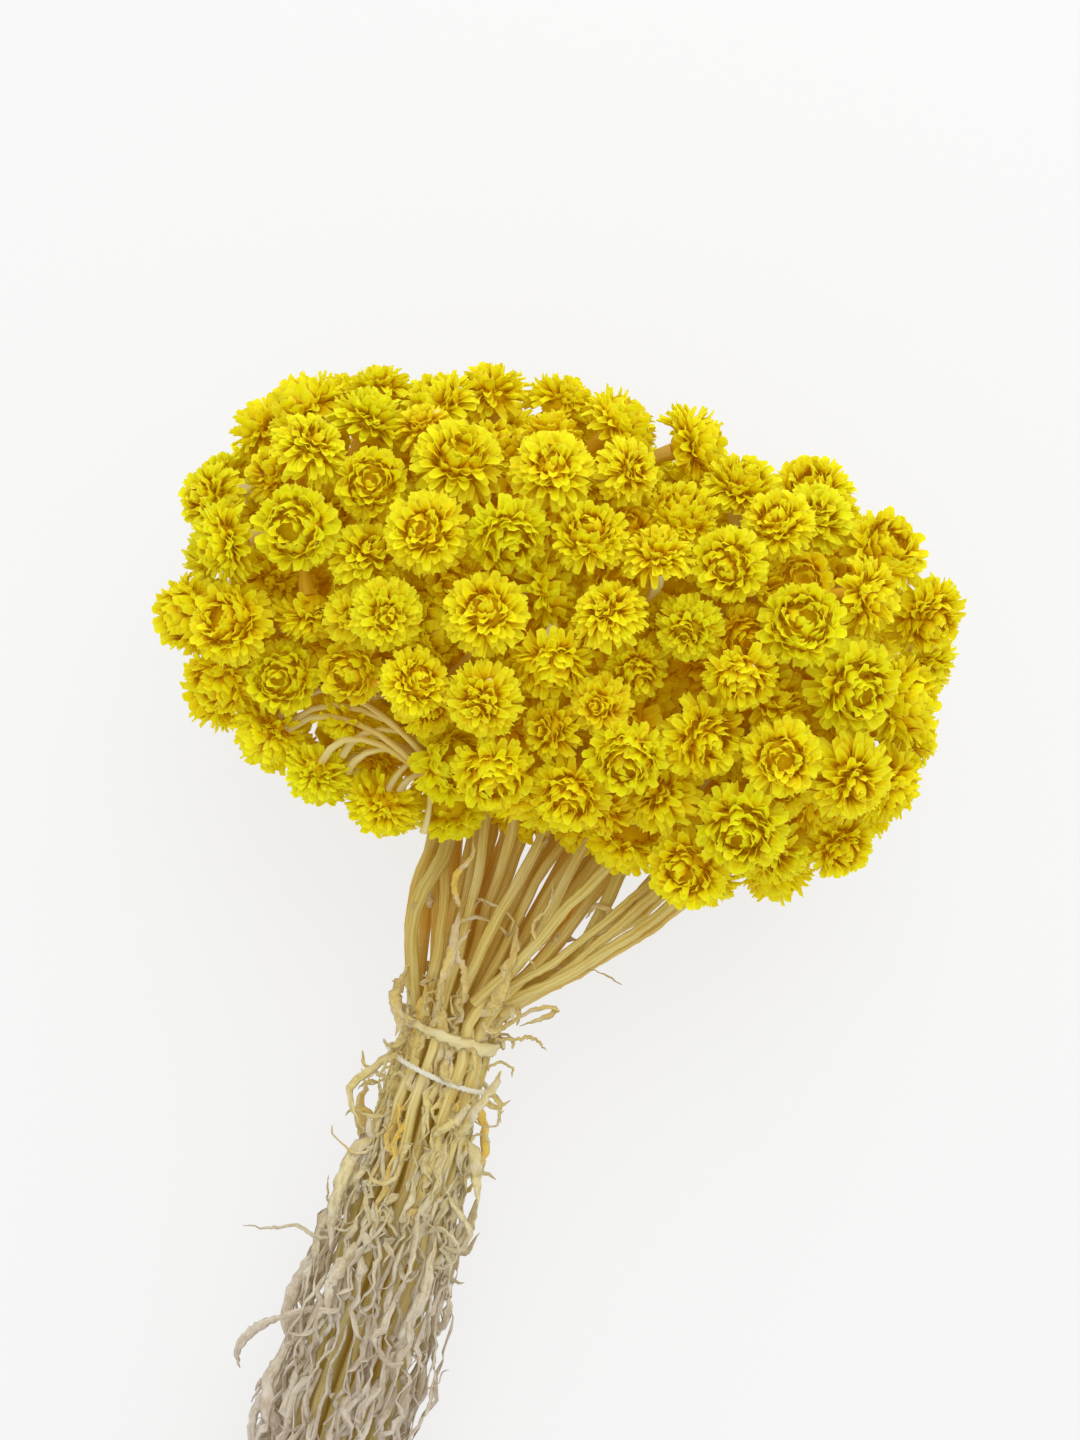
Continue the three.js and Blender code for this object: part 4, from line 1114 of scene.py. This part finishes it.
straw, tree, shader = new_material("straw")
warm = ramp(tree, map_range(tree, along_bunch(tree), -110, 90, 0, 1), (
    (0, (0.62, 0.56, 0.42)), (0.35, (0.74, 0.69, 0.38)), (0.56, (0.80, 0.70, 0.30)),
    (0.7, (0.74, 0.63, 0.22)), (0.83, (0.74, 0.56, 0.12)), (0.9, (0.76, 0.48, 0.04)),
    (1, (0.76, 0.44, 0.03))))
fibre = fibres(tree, 2.4, 90)
darker = blend(tree, 1, warm, (0.70, 0.54, 0.2), "MULTIPLY")
fibred = blend(tree, map_range(tree, fibre, 0.35, 0.62, 0.85, 0), warm, darker)
blotch = map_range(tree, object_noise(tree, 120, 2), 0.5, 0.75, 0, 0.5)
fibred = blend(tree, blotch, fibred, (0.80, 0.70, 0.40))
toned = blend(tree, map_range(tree, surface_value(tree, "tone"), 0, 1, 0, 0.7), fibred,
              blend(tree, 1, fibred, (0.76, 0.76, 0.66), "MULTIPLY"))
# Low down in the fan the stems turn deep orange: painted shade, standing for the orange light among them.
in_fan = map_range(tree, along_bunch(tree), 9, 20, 0, 0.85)
painted_fan_shade = times(tree, map_range(tree, above_table(tree), 19, 28, 1, 0), in_fan)
link(tree, blend(tree, painted_fan_shade, toned, (0.66, 0.33, 0.015)), shader["Base Color"])
# The faint orange emission is painted light: a glow that lifts the shade between the stems.
set_values(shader, Roughness=0.65, Specular_IOR_Level=0.3, Emission_Color=(0.6, 0.34, 0.02, 1),
           Emission_Strength=0.09)
link(tree, bump(tree, fibre, 0.8, 0.0003), shader["Normal"])

pale_stalk, tree, shader = new_material("pale_stalk")
fibre = fibres(tree, 2, 120)
cream = ramp(tree, surface_value(tree, "flare"), ((0, (0.78, 0.62, 0.20)), (0.6, (0.82, 0.72, 0.34)),
                                                  (1, (0.84, 0.77, 0.42))))
# Most stalks turn deep orange: painted shade, standing for the orange light among the heads.
painted_orange_shade = blend(tree, map_range(tree, surface_value(tree, "tone"), 0.2, 0.45, 0, 1), cream, (0.82, 0.50, 0.015))
link(tree, blend(tree, map_range(tree, fibre, 0.35, 0.6, 0.6, 0), painted_orange_shade,
                 blend(tree, 1, painted_orange_shade, (0.84, 0.72, 0.4), "MULTIPLY")), shader["Base Color"])
# The faint golden emission is painted light: a glow that lifts the shade in the crown.
set_values(shader, Roughness=0.6, Specular_IOR_Level=0.3, Emission_Color=(0.8, 0.5, 0.01, 1),
           Emission_Strength=0.05)
link(tree, bump(tree, fibre, 0.4, 0.0001), shader["Normal"])

# %% Stalks: from the hub to under each bloom
STALK_POINTS = 12
STALK_RADIUS, STALK_ROOT, STALK_FLARE = 0.52, 0.3, 0.13        # the flare is a share of the bloom's radius
STALK_TOP, STALK_START, STALK_PULL = 0.42, 0.6, 0.4
ARCH_STALKS, ARCH_RADIUS, ARCH_FLARE, ARCH_PULL = 3, 0.42, 0.14, 0.55
ARCH_START, ARCH_WAY = np.array([-9.0, 40, 37]), np.array([-0.4, 0.5, 0.75])    # of the hanging heads' stalks
stalk_steps = np.linspace(0, 1, STALK_POINTS)
random = np.random.default_rng(17)
triangles = 0
for group in range(len(CLUSTERS)):
    hub = stem_lines[group, -1]
    paths, thick, flare, tone = [], [], [], []
    for bloom in np.flatnonzero(bloom_group == group):
        size = bloom_radius[bloom]
        top = bloom_middle[bloom] - STALK_TOP * size * bloom_axis[bloom]
        start, way = hub + STALK_START * stalk_way[bloom], stalk_way[bloom]
        pull = STALK_PULL * np.linalg.norm(top - start)
        rise = smooth_step(stalk_steps, 0.55, 1)
        root = STALK_ROOT * (1 - smooth_step(stalk_steps, 0, 0.25))
        width = STALK_RADIUS + root + STALK_FLARE * size * rise ** 2
        arches = ARCH_STALKS if bloom in hanging else 0
        for _ in range(max(1, arches)):
            if arches:
                start, way = ARCH_START + random.normal(0, 1.1, 3), unit(ARCH_WAY + random.normal(0, 0.2, 3))
                pull = ARCH_PULL * np.linalg.norm(top - start)
                width = ARCH_RADIUS + ARCH_FLARE * rise ** 3
            paths.append(in_frame(bend(start, start + pull * way, top - pull * bloom_axis[bloom], top,
                                       STALK_POINTS)))
            thick.append(width * MM)
            flare.append(rise)
            tone.append(0 if arches else random.random())
            top = top + random.normal(0, 2.2, 3) * (1, 1, 0.4) - (0, 0, 1)
    lines = chains("stalk_lines", paths, thick=thick, flare=flare, tone=tone)
    triangles += show_strands(f"stalks_{group + 1:02d}", lines, round_section, 10, 0.18, 0.02, 0.5,
                              pale_stalk, "stem", f"flower_cluster_{group + 1:02d}")
print(f"stalks of {len(bloom_middle)} blooms, {triangles} triangles")


# %% Stems: thin at the tie, where they are squeezed, and thicker where they fan out
def stem_thickness(path, own):
    y = path[:, 1]
    fan = smooth_step(y, 7, 20) * (1 - smooth_step(y, 42, 62))
    below = 1 - smooth_step(y, -25, -3)
    return (0.86 + (0.28 * own - 0.14) * fan + 0.16 * below * own) * MM


FAN_CROOK = 0.5                                 # how far a point of a stem in the fan is off its even line
SIDE_STEMS = {10: 2, 11: 4, 22: 2, 20: 1}       # by cluster: thinner stems that fan out wide
random = np.random.default_rng(5)
triangles = 0
for group, path in enumerate(stem_paths):
    hub = stem_lines[group, -1]
    path = np.vstack([path[:-1], hub + 0.2 * unit(hub - path[-2])])
    fan = (path[:, 1] > 12)[:, None] & (np.arange(len(path)) < len(path) - 1)[:, None]
    path = path + fan * random.normal(0, FAN_CROOK, path.shape)
    knots = 1 + np.clip(random.normal(0, 0.07, len(path)), -0.1, 0.18)
    paths, thick = [path], [stem_thickness(path, random.random()) * knots]
    for number in range(SIDE_STEMS.get(group, 0)):
        start = stem_lines[group, 0] + random.normal(0, 0.8, 3) * (1, 0, 1) + (0, 3 * random.random(), 0)
        end = hub + random.normal(0, 1, 3) * (3.4, 3.4, 3)
        middle = 0.5 * (start + end) + (0.13 * (end[0] - start[0]) + random.normal(0, 0.8), -3, 2)
        paths.append(bend(start, 0.6 * start + 0.4 * middle, middle, end, 12))
        thick.append((0.62 + 0.2 * random.random()) * np.ones(12) * MM)
    name = f"stem_{group + 1:02d}"
    lines = chains(name + "_line", [in_frame(way) for way in paths], thick=thick,
                   tone=list(random.random(len(paths))))
    triangles += show_strands(name, lines, stem_section, 72, 0.42, 0.12, 0.5, straw, "stem",
                              f"leafy_stem_{group + 1:02d}")
print(f"{len(stem_paths)} stems, {triangles} triangles")

# %% [markdown]
# The leaves of this plant are narrow and covered in grey-white felt. Dried, they shrivel to soft twisted
# ribbons: some stand away from the stems and curl, most lie matted along the bundle below the tie. Each is
# a closed ribbon with a rounded section, swept along its own line while it twists, with its two long edges
# rolled a little under. The numbers that differ from leaf to leaf are drawn from a seeded generator.

# %% A ribbon along a line
RIBBON_STEPS = 24
RIBBON_SECTION = np.array([(-1, -0.2), (-0.6, 0.45), (0.6, 0.45), (1, -0.2), (0.4, -0.1), (-0.4, -0.1)])


def resampled(path, count):
    """The line through the points, smooth and with even steps"""
    ends = np.vstack([2 * path[0] - path[1], path, 2 * path[-1] - path[-2]])
    rows = []
    for a, b, c, d in zip(ends, ends[1:], ends[2:], ends[3:]):
        t = np.linspace(0, 1, 8, endpoint=False)[:, None]
        rows.append(0.5 * (2 * b + (c - a) * t + (2 * a - 5 * b + 4 * c - d) * t ** 2
                           + (3 * b - a - 3 * c + d) * t ** 3))
    line = np.vstack(rows + [path[-1:]])
    reach = np.append(0, np.cumsum(np.linalg.norm(np.diff(line, axis=0), axis=1)))
    even = np.linspace(0, reach[-1], count)
    return np.stack([np.interp(even, reach, line[:, k]) for k in range(3)], 1)


class Ribbons:
    """Ribbons gathered into one mesh, with the values that their finish needs"""

    def __init__(self):
        self.corners, self.faces, self.along, self.across, self.tone = [], [], [], [], []

    def add(self, path, face, half_width, thickness, twist, tone, steps=RIBBON_STEPS, crumple=0.0):
        line = resampled(np.asarray(path, float), steps)
        line[1:-1] += crumple * random.normal(size=(steps - 2, 3))
        way = unit(np.gradient(line, axis=0))
        count = len(RIBBON_SECTION)
        first = len(self.corners)
        side = None
        for i in range(steps):
            side = np.cross(way[i], face) if side is None else side
            side = unit(side - way[i] * side.dot(way[i]))
            up = np.cross(side, way[i])
            turn = twist(i / (steps - 1))
            wide_way = math.cos(turn) * side + math.sin(turn) * up
            thick_way = -math.sin(turn) * side + math.cos(turn) * up
            wide = half_width(i / (steps - 1)) * (1 + 1.6 * crumple * random.uniform(-1, 1))
            for x, z in RIBBON_SECTION:
                self.corners.append(line[i] + wide_way * (x * wide) + thick_way * (z * thickness(wide)))
                self.across.append(x)
                self.along.append(i / (steps - 1))
                self.tone.append(tone)
        rows = [range(first + i * count, first + (i + 1) * count) for i in range(steps)]
        self.faces += [tuple(rows[0]), tuple(reversed(rows[-1]))]
        for low, high in zip(rows, rows[1:]):
            self.faces += [(low[k], high[k], high[(k + 1) % count], low[(k + 1) % count])
                           for k in range(count)]

    def mesh(self, name):
        corners = in_frame(self.corners)
        return plain_mesh(name, corners, faces=self.faces, along=self.along, across=self.across,
                          tone=self.tone)


# %% The felt surface: a fine uneven fuzz that is pressed flat where the leaf lies on the table
felt_tree, given, result = shape_tree("felt", {"Fuzz": 0.12 * MM, "Table softness": 0.5 * MM,
                                               "Material": straw})
tree = felt_tree
fuzz = add(tree, "GeometryNodeSetPosition", {"Geometry": given["Geometry"],
                                             "Offset": wandering(tree, 700, given["Fuzz"], 2.0)})
fuzz = add(tree, "GeometryNodeRealizeInstances", {"Geometry": fuzz.outputs[0]}).outputs[0]
fuzz = pressed_on_table(tree, fuzz, given["Table softness"])
fuzz = add(tree, "GeometryNodeSetShadeSmooth", {"Geometry": fuzz}).outputs[0]
fuzz = add(tree, "GeometryNodeSetMaterial", {"Geometry": fuzz, "Material": given["Material"]}).outputs[0]
link(tree, fuzz, result["Geometry"])

felt, tree, shader = new_material("felted_leaf")
base = ramp(tree, map_range(tree, along_bunch(tree), -60, 20, 0, 1), (
    (0, (0.67, 0.60, 0.525)), (0.35, (0.72, 0.65, 0.51)), (0.55, (0.78, 0.70, 0.38)),
    (0.7, (0.80, 0.68, 0.24)), (1, (0.78, 0.60, 0.18))))
fresh = times(tree, map_range(tree, surface_value(tree, "tone"), 0.06, 0.14, 1, 0),
             map_range(tree, along_bunch(tree), -30, -12, 0, 1))
base = blend(tree, fresh, base, (0.82, 0.56, 0.05))
creases = vector(tree, times(tree, surface_value(tree, "across"), 2.2),
                 times(tree, surface_value(tree, "along"), 9),
                 times(tree, surface_value(tree, "tone"), 60))
creases = add(tree, "ShaderNodeTexNoise", {"Vector": creases, "Scale": 1.0, "Detail": 4.0}).outputs[0]
strands = calc(tree, "MULTIPLY_ADD", creases, 0.6, times(tree, object_noise(tree, 1500, 3), 0.4))
base = blend(tree, map_range(tree, strands, 0.4, 0.56, 0.7, 0), base,
             blend(tree, 1, base, (0.66, 0.56, 0.42), "MULTIPLY"))
base = blend(tree, map_range(tree, surface_value(tree, "tone"), 0, 1, 0, 0.6), base,
             blend(tree, 1, base, (0.8, 0.74, 0.62), "MULTIPLY"))
base = blend(tree, map_range(tree, object_noise(tree, 240, 2), 0.52, 0.7, 0, 0.6), base,
             (0.76, 0.70, 0.58))
link(tree, base, shader["Base Color"])
# The faint warm emission is painted light: a glow that lifts the shade among the leaves.
set_values(shader, Roughness=0.85, Sheen_Weight=0.25, Sheen_Roughness=0.5,
           Emission_Color=(0.6, 0.46, 0.28, 1), Emission_Strength=0.09)
link(tree, bump(tree, strands, 0.9, 0.0005), shader["Normal"])


# %% What all ribbons share: their outline, their twist, and how they are handed over
ALL_STEMS = [f"leafy_stem_{i + 1:02d}" for i in range(len(CLUSTERS))]


def leaf_width(widest):
    return lambda t: widest * (0.35 + 0.65 * math.sin(math.pi * min(1, 0.12 + 0.95 * t)) ** 0.7) * (
        1 if t < 0.85 else math.sqrt(max(0.04, 1 - ((t - 0.85) / 0.155) ** 2)))


def leaf_thickness(wide):
    return 0.34 * wide + 0.14


def twisting(turn, swing, speed, phase):
    return lambda t: turn * t + swing * math.sin(speed * t + phase)


def show_ribbons(ribbons, name, fuzz, softness, material, slot, *nodes):
    """One piece of ribbons, with its lengths in millimetres"""
    piece = run_tree(felt_tree, ribbons.mesh(name + "_ribbons"), name, {
        "Fuzz": fuzz * MM, "Table softness": softness * MM, "Material": material})
    hand_over(piece, slot, *nodes)


# %% The curled leaves that the CAD stems carry
random = np.random.default_rng(9)
for group in sorted({leaf[0] for leaf in curled_leaves}):
    ribbons = Ribbons()
    for owner, path, twist in curled_leaves:
        if owner != group:
            continue
        turn = 6 * twist + random.normal(0, 0.5)
        turning = twisting(turn, 0.35, 7, random.random() * 6.28)
        ribbons.add(path, np.array([0.3, 0.1, 1.0]), leaf_width(1.05), leaf_thickness, turning,
                    random.random(), crumple=0.12)
    show_ribbons(ribbons, f"curled_leaves_{group + 1:02d}", 0.1, 0.5, felt, "stem",
                 f"leafy_stem_{group + 1:02d}")
print(f"{len(curled_leaves)} curled leaves")

# %% [markdown]
# Below the tie the bundle hardly shows its stems: matted leaves hang along it, looser and greyer further
# down. Each of these starts at a random height and angle, keeps close to the bundle's side, wanders round
# it a little and turns its ends up or under. They are shared out over four meshes, one for each stretch.

# %% Matted leaves
def bundle_radius(along):
    below = np.clip(-along / TAIL_LENGTH, 0, 1)
    return 7.0 * (1 + (TAIL_SPREAD - 1) * below)


def on_bundle(along, angle, out):
    along = np.asarray(along, float)
    reach = bundle_radius(along) + out
    return axis_at(along) + np.stack([reach * np.cos(angle), np.zeros_like(along), reach * np.sin(angle)], -1)


MATTED, MATTED_STEPS = 430, 18
MATTED_TOP, MATTED_SPAN, MATTED_CROWDING, MATTED_LENGTHS = 10, 127, 1.35, (12, 34)
NEAR_TIE, SHORTER_NEAR_TIE, SHARE_POINTING_DOWN = -20, 0.65, 0.7
LOWEST_END, HIGHEST_END = -119, 13
STRETCHES = ((-120, -80), (-80, -48), (-48, -22), (-22, 14))
random = np.random.default_rng(31)
matted = [Ribbons() for _ in STRETCHES]
for number in range(MATTED):
    along = MATTED_TOP - MATTED_SPAN * ((number + random.random()) / MATTED) ** MATTED_CROWDING
    length = random.uniform(*MATTED_LENGTHS) * (SHORTER_NEAR_TIE if along > NEAR_TIE else 1)
    heading = -1 if random.random() < SHARE_POINTING_DOWN else 1
    t = np.linspace(0, 1, 12)
    ends = np.clip(along + heading * length * t + random.normal(0, 0.5, 12), LOWEST_END, HIGHEST_END)
    angle = random.uniform(0, 2 * math.pi) + random.normal(0, 0.22) * t + random.normal(0, 0.07, 12)
    loose = smooth_step(np.abs(ends - 2.5), 3.5, 40)
    out = -0.7 + 1.1 * loose + 2.6 * random.random() ** 1.5 * loose * np.sin(math.pi * t)
    out = out + 1.4 * loose * random.random() + random.uniform(-0.5, 2.2) * t ** 3 * loose
    out = out + random.normal(0, 0.12, 12) + 0.3 * loose * random.normal(0, 1, 12)
    out = out + 1.6 * smooth_step(ends, 6, 13)
    path = on_bundle(ends, angle, out)
    if np.linalg.norm(path[-1] - path[0]) < 6:
        continue
    face = unit(path[1] - axis_at(path[1, 1]))
    turn, phase = random.normal(0, 2.2), random.random() * 6.28
    stretch = next(i for i, (low, high) in enumerate(STRETCHES) if along < high or i == 3)
    matted[stretch].add(path, face, leaf_width(random.uniform(0.35, 0.9)), leaf_thickness,
                        twisting(turn, 0.8, 11, phase), random.random(), MATTED_STEPS, crumple=0.16)
for stretch, ribbons in enumerate(matted):
    show_ribbons(ribbons, f"matted_leaves_{stretch + 1}", 0.14, 0.5, felt, "stem", *ALL_STEMS)
print("matted leaves:", [len(ribbons.corners) // (MATTED_STEPS * len(RIBBON_SECTION)) for ribbons in matted])

# %% [markdown]
# A few leaves stand out from the bundle in ways that no even rule gives: loops, hooks, thin tendrils and a
# tight curl of fresh yellow. These are set one by one from what the photograph shows, each as a short list of
# places [across, along, out of the bundle's axis] and a width, and drawn as the same felted ribbons.

# %% Loops and tendrils, set one by one
LOOPS = (
    ([(-6, 1, 3), (-9, -2, 4), (-11.5, -6, 4), (-9, -10, 4), (-7, -11.5, 3), (-5.5, -8, 4), (-6, -4, 5)],
     0.6),
    ([(5, -9, 5), (6.5, -4, 6), (8.2, 0, 5), (8.6, 2.6, 5)], 0.8),
    ([(5.5, -3, 7), (4.4, -5.5, 7.6), (2.6, -7.5, 7.6), (1.6, -9.4, 7)], 0.7),
    ([(6, -17, 5), (8.4, -19, 5.5), (10.4, -21.5, 5), (9.4, -24.5, 4.5), (6.8, -24, 5), (5, -21.5, 6.5),
      (2.5, -20.5, 7.4), (0, -21.5, 7.8)], 0.55),
    ([(-7, -27, 4), (-10.5, -28, 4), (-14, -27.4, 3.5), (-18, -29.2, 2.5), (-21.5, -29.8, 2)], 0.28),
    ([(-9, -25, 5), (-10.4, -22, 5), (-11.2, -18.6, 5)], 0.34),
    ([(-8, -38, 5), (-12, -40, 5.5), (-15.5, -43, 5), (-17.5, -47, 4), (-16.6, -50, 3.5)], 0.9),
    ([(-7, -35, 7), (-4, -34, 7.5), (-1, -36, 8), (2, -35, 8)], 0.6),
    ([(6, 7, 5), (8.4, 10, 6), (10.6, 12.2, 6), (14, 13.4, 5), (12.4, 11.4, 5), (9.4, 9.4, 5)], 0.5),
    ([(6.6, 6.6, 4), (9.4, 7.2, 4), (11.6, 8, 3.6), (14.2, 6.8, 3)], 0.35),
    ([(10, 18, 4), (14, 19, 4), (18, 19.6, 3.4), (22, 18.6, 3)], 0.25),
    ([(5, 11, 7), (6.4, 14, 8), (5.2, 17.4, 8), (7.8, 19.6, 8.4), (9.6, 18, 8)], 0.5),
    ([(-6.4, 5, 5), (-8.4, 8.6, 5), (-8, 13, 5.4), (-6.8, 17, 5.6)], 1.0),
    ([(-3.4, 8, 8), (-4.4, 10.6, 8.8), (-2.6, 11.8, 9), (-1.6, 9.8, 8.6)], 0.5),
    ([(1, 11, 8), (0.2, 15, 9), (-1.8, 18, 9), (-0.6, 21.4, 9.6)], 0.55),
    ([(9.4, 21, 8), (7.6, 24, 9), (9, 27.6, 9.6), (8.4, 31, 10)], 0.45),
    ([(-3, 24, 9), (-4.6, 27.6, 10), (-3, 31.4, 10.6), (-3.6, 33.6, 11)], 0.5),
    ([(15.6, 24.6, 5), (17.6, 26, 5.6), (17.4, 28.4, 5.6), (15.2, 28.6, 5.4), (14.4, 26.6, 5.2)], 0.5),
)
random = np.random.default_rng(8)
ribbons = Ribbons()
for places, width in LOOPS:
    places = np.array(places, float)
    path = axis_at(places[:, 1])
    path[:, 0], path[:, 2] = places[:, 0], path[:, 2] + places[:, 2]
    turn, phase = random.normal(0, 1.2), random.random() * 6.28
    ribbons.add(path, np.array([0.2, 0.1, 1.0]), leaf_width(width), leaf_thickness,
                twisting(turn, 0.5, 6, phase), random.random(), 30, crumple=0.08)
show_ribbons(ribbons, "loops_and_tendrils", 0.1, 0.5, felt, "stem", *ALL_STEMS)
print(f"{len(LOOPS)} loops and tendrils")

# %% Remnants: short bits of leaf that curl off the stems, in the fan, round the tie and further down
REMNANTS = ((34, 11, 38, 3, 8, 0.4), (34, -12, 11, 3, 7, 0.45), (40, -70, -12, 4, 8, 0.4))
random = np.random.default_rng(44)
ribbons = Ribbons()
for count, low, high, shortest, longest, width in REMNANTS:
    for number in range(count):
        along = random.uniform(low, high)
        if along < 11:
            angle = random.uniform(-0.4, 3.6)
            start = on_bundle(along, angle, 0.2)
            out = unit(start - axis_at(along))
            way = np.array([0.0, random.choice((-1, 1)), 0])
        else:
            path = stem_paths[random.integers(len(stem_paths))]
            k = np.searchsorted(path[:, 1], along)
            start, way = path[k], unit(path[k] - path[k - 1])
            out = unit(np.array([random.normal(0, 0.5), 0, 1.0]))
            start = start + 0.6 * out
        bends = np.cumsum(random.uniform(0.1, 0.6, 8)) * random.choice((-1, 1)) + random.uniform(0.1, 0.7)
        step = random.uniform(shortest, longest) / 8
        side = np.cross(way, out)
        steps = np.cos(bends)[:, None] * way + np.abs(np.sin(bends))[:, None] * out
        steps = steps + random.normal(0, 0.6) * np.sin(bends)[:, None] * side
        path = start + np.vstack([np.zeros(3), step * np.cumsum(steps, axis=0)])
        turn = random.normal(0, 1.5)
        ribbons.add(path, out, leaf_width(width * random.uniform(0.6, 1.5)), leaf_thickness,
                    twisting(turn, 0, 0, 0), random.random(), 13, crumple=0.08)
show_ribbons(ribbons, "remnants", 0.08, 0.5, felt, "stem", *ALL_STEMS)
print(f"{sum(row[0] for row in REMNANTS)} remnants of leaves")

# %% [markdown]
# The cord is thin, smooth and white, two plies laid round each other. It follows the bundle's outline,
# slanting as the CAD ring does. Above it a dry leaf strip is wound once round the stems; its ends overlap
# and come to a point, and it is wider on its right.

# %% The cord
def ring_line(reach, place, slant, count, turns=1.0, start=0.0, tilt=0.0):
    angle = start + np.linspace(0, turns * 2 * math.pi, count)
    x, z = reach * np.cos(angle), reach * np.sin(angle)
    y = place + slant * x + tilt * (angle - start)
    return np.stack([x, y, TIE_HEIGHT + AXIS_RISE * y + z], 1), np.stack(
        [np.cos(angle), 0 * angle, np.sin(angle)], 1)


CORD_TURNS = 30
line, out = ring_line(cord_reach - 0.05, CORD_PLACE, CORD_SLANT, 12 * CORD_TURNS + 1)
lay = np.linspace(0, 2 * math.pi * CORD_TURNS, len(line))[:, None]
upward = np.array([0.0, 1, 0])
plies = [line + 0.13 * (np.cos(lay + turn) * out + np.sin(lay + turn) * upward) for turn in (0, math.pi)]

white_cord, tree, shader = new_material("white_cord")
strand_noise = fibres(tree, 3, 400)
link(tree, blend(tree, map_range(tree, strand_noise, 0.4, 0.6, 0.5, 0), (0.86, 0.83, 0.70),
                 (0.70, 0.66, 0.5)), shader["Base Color"])
set_values(shader, Roughness=0.7)
link(tree, bump(tree, strand_noise, 0.4, 0.0001), shader["Normal"])
cord_mesh = chains("cord_plies", [in_frame(ply) for ply in plies], thick=[0.29 * MM, 0.29 * MM])
show_strands("cord", cord_mesh, round_section, 12 * CORD_TURNS + 1, 0.02, 0.01, 0.3, white_cord, "cord",
             "tie_cord")
print(f"cord of {len(plies)} plies, {CORD_TURNS} turns")

# %% The leaf strip
dry_strip, tree, shader = new_material("dry_strip")
grain = object_noise(tree, 900, 3, (0.3, 1.6, 0.3))
link(tree, blend(tree, map_range(tree, grain, 0.35, 0.65, 0.7, 0), (0.84, 0.74, 0.40), (0.68, 0.52, 0.20)),
     shader["Base Color"])
set_values(shader, Roughness=0.6)
link(tree, bump(tree, grain, 0.5, 0.0002), shader["Normal"])
strip_turns, strip_start = 1.08, -0.35
line, out = ring_line(strip_reach - 0.1, STRIP_PLACE - 0.3, STRIP_SLANT, 90, strip_turns, strip_start, 0.12)
line = line + out * np.linspace(-0.1, 0.35, len(line))[:, None]
ribbons = Ribbons()


def strip_width(t):
    angle = strip_start + t * strip_turns * 2 * math.pi
    ends = min(1, t / 0.05, (1 - t) / 0.05)
    return 0.5 * STRIP_WIDTH * (1.05 + STRIP_FLARE * math.cos(angle)) * max(0.06, ends)


ribbons.add(line, out[0], strip_width, lambda wide: 0.3,
            lambda t: 0.35 * math.sin(25 * t) + 0.2 * math.sin(61 * t), 0.3, 90, crumple=0.1)
show_ribbons(ribbons, "strip", 0.24, 0.3, dry_strip, "strip", "leaf_strip")
for section in (round_section, stem_section):
    bpy.data.objects.remove(section)

# %% [markdown]
# The photograph looks straight down on the bunch from about thirty centimetres. It is turned by fifteen
# degrees, the nearer crown looks larger than the tail, and the lower half of the tail leaves the picture.
# The camera repeats that: it hangs over the crown's lower edge and turns about its own line of sight.
# One could also turn the bunch, but then its frame would no longer be the CAD model's.

# %% Camera
CAMERA_PLACE = (1.1, 51.7, 291)                 # across, along and up, in millimetres
CAMERA_TURN = math.radians(15)
camera = bpy.data.cameras.new("camera")
camera.lens, camera.sensor_width, camera.clip_start = 46.8, 36, 0.01
camera_object = bpy.data.objects.new("camera", camera)
bpy.context.scene.collection.objects.link(camera_object)
camera_object.location = in_frame(CAMERA_PLACE)
camera_object.rotation_euler = (0, 0, CAMERA_TURN)
bpy.context.scene.camera = camera_object
print("camera at", [round(value, 3) for value in camera_object.location], "metres")

# %% [markdown]
# The bunch lies on white that shows hardly a shadow. A floor that only reflects would show a grey one, so
# most of this floor's brightness is its own and the rest is reflected, which leaves a faint soft shadow.
# A pale sky gives light from all round, and one wide lamp beyond the flat top of the crown gives the
# heads their brighter upper side. The plain view transform keeps the yellow as saturated as it is.

# %% Floor, sky and lamp
floor_mesh = plain_mesh("floor", [(-2, -2, 0), (2, -2, 0), (2, 2, 0), (-2, 2, 0)], faces=[(0, 1, 2, 3)])
floor = show("floor", floor_mesh)
white_floor, tree, shader = new_material("white_floor")
set_values(shader, Base_Color=(0.2, 0.2, 0.2, 1), Roughness=0.9, Emission_Color=(1, 1, 1, 1),
           Emission_Strength=0.72)
floor_mesh.materials.append(white_floor)
floor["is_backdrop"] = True

world = bpy.data.worlds.new("pale_sky")
world.use_nodes = True
sky = world.node_tree.nodes["Background"].inputs
sky["Color"].default_value, sky["Strength"].default_value = (1, 1, 1, 1), 0.8
bpy.context.scene.world = world
lamp = bpy.data.lights.new("lamp", "AREA")
lamp.energy, lamp.size = 1.36, 0.5
lamp_object = bpy.data.objects.new("lamp", lamp)
bpy.context.scene.collection.objects.link(lamp_object)
lamp_object.location = (0, 0.45, 0.45)
lamp_object.rotation_euler = Vector((0, 0.45, 0.4)).to_track_quat("Z", "Y").to_euler()
bpy.context.scene.view_settings.view_transform = "Standard"
print(f"lamp of {lamp.energy:.2f} W, {lamp.size} m wide")

# %% [markdown]
# Last, the size of the finished bunch is printed beside the CAD model's; the finer pieces keep within its
# box, but for a few bract tips and leaf ends.

# %% Sizes, and the end
sizes = [[[float(value) for value in corner] for corner in box] for box in (CAD_BOX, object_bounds())]
for label, box in zip(("CAD model", "finished bunch"), sizes):
    low, high = ([round(value / MM, 1) for value in corner] for corner in box)
    print(label, low, "to", high, "mm")
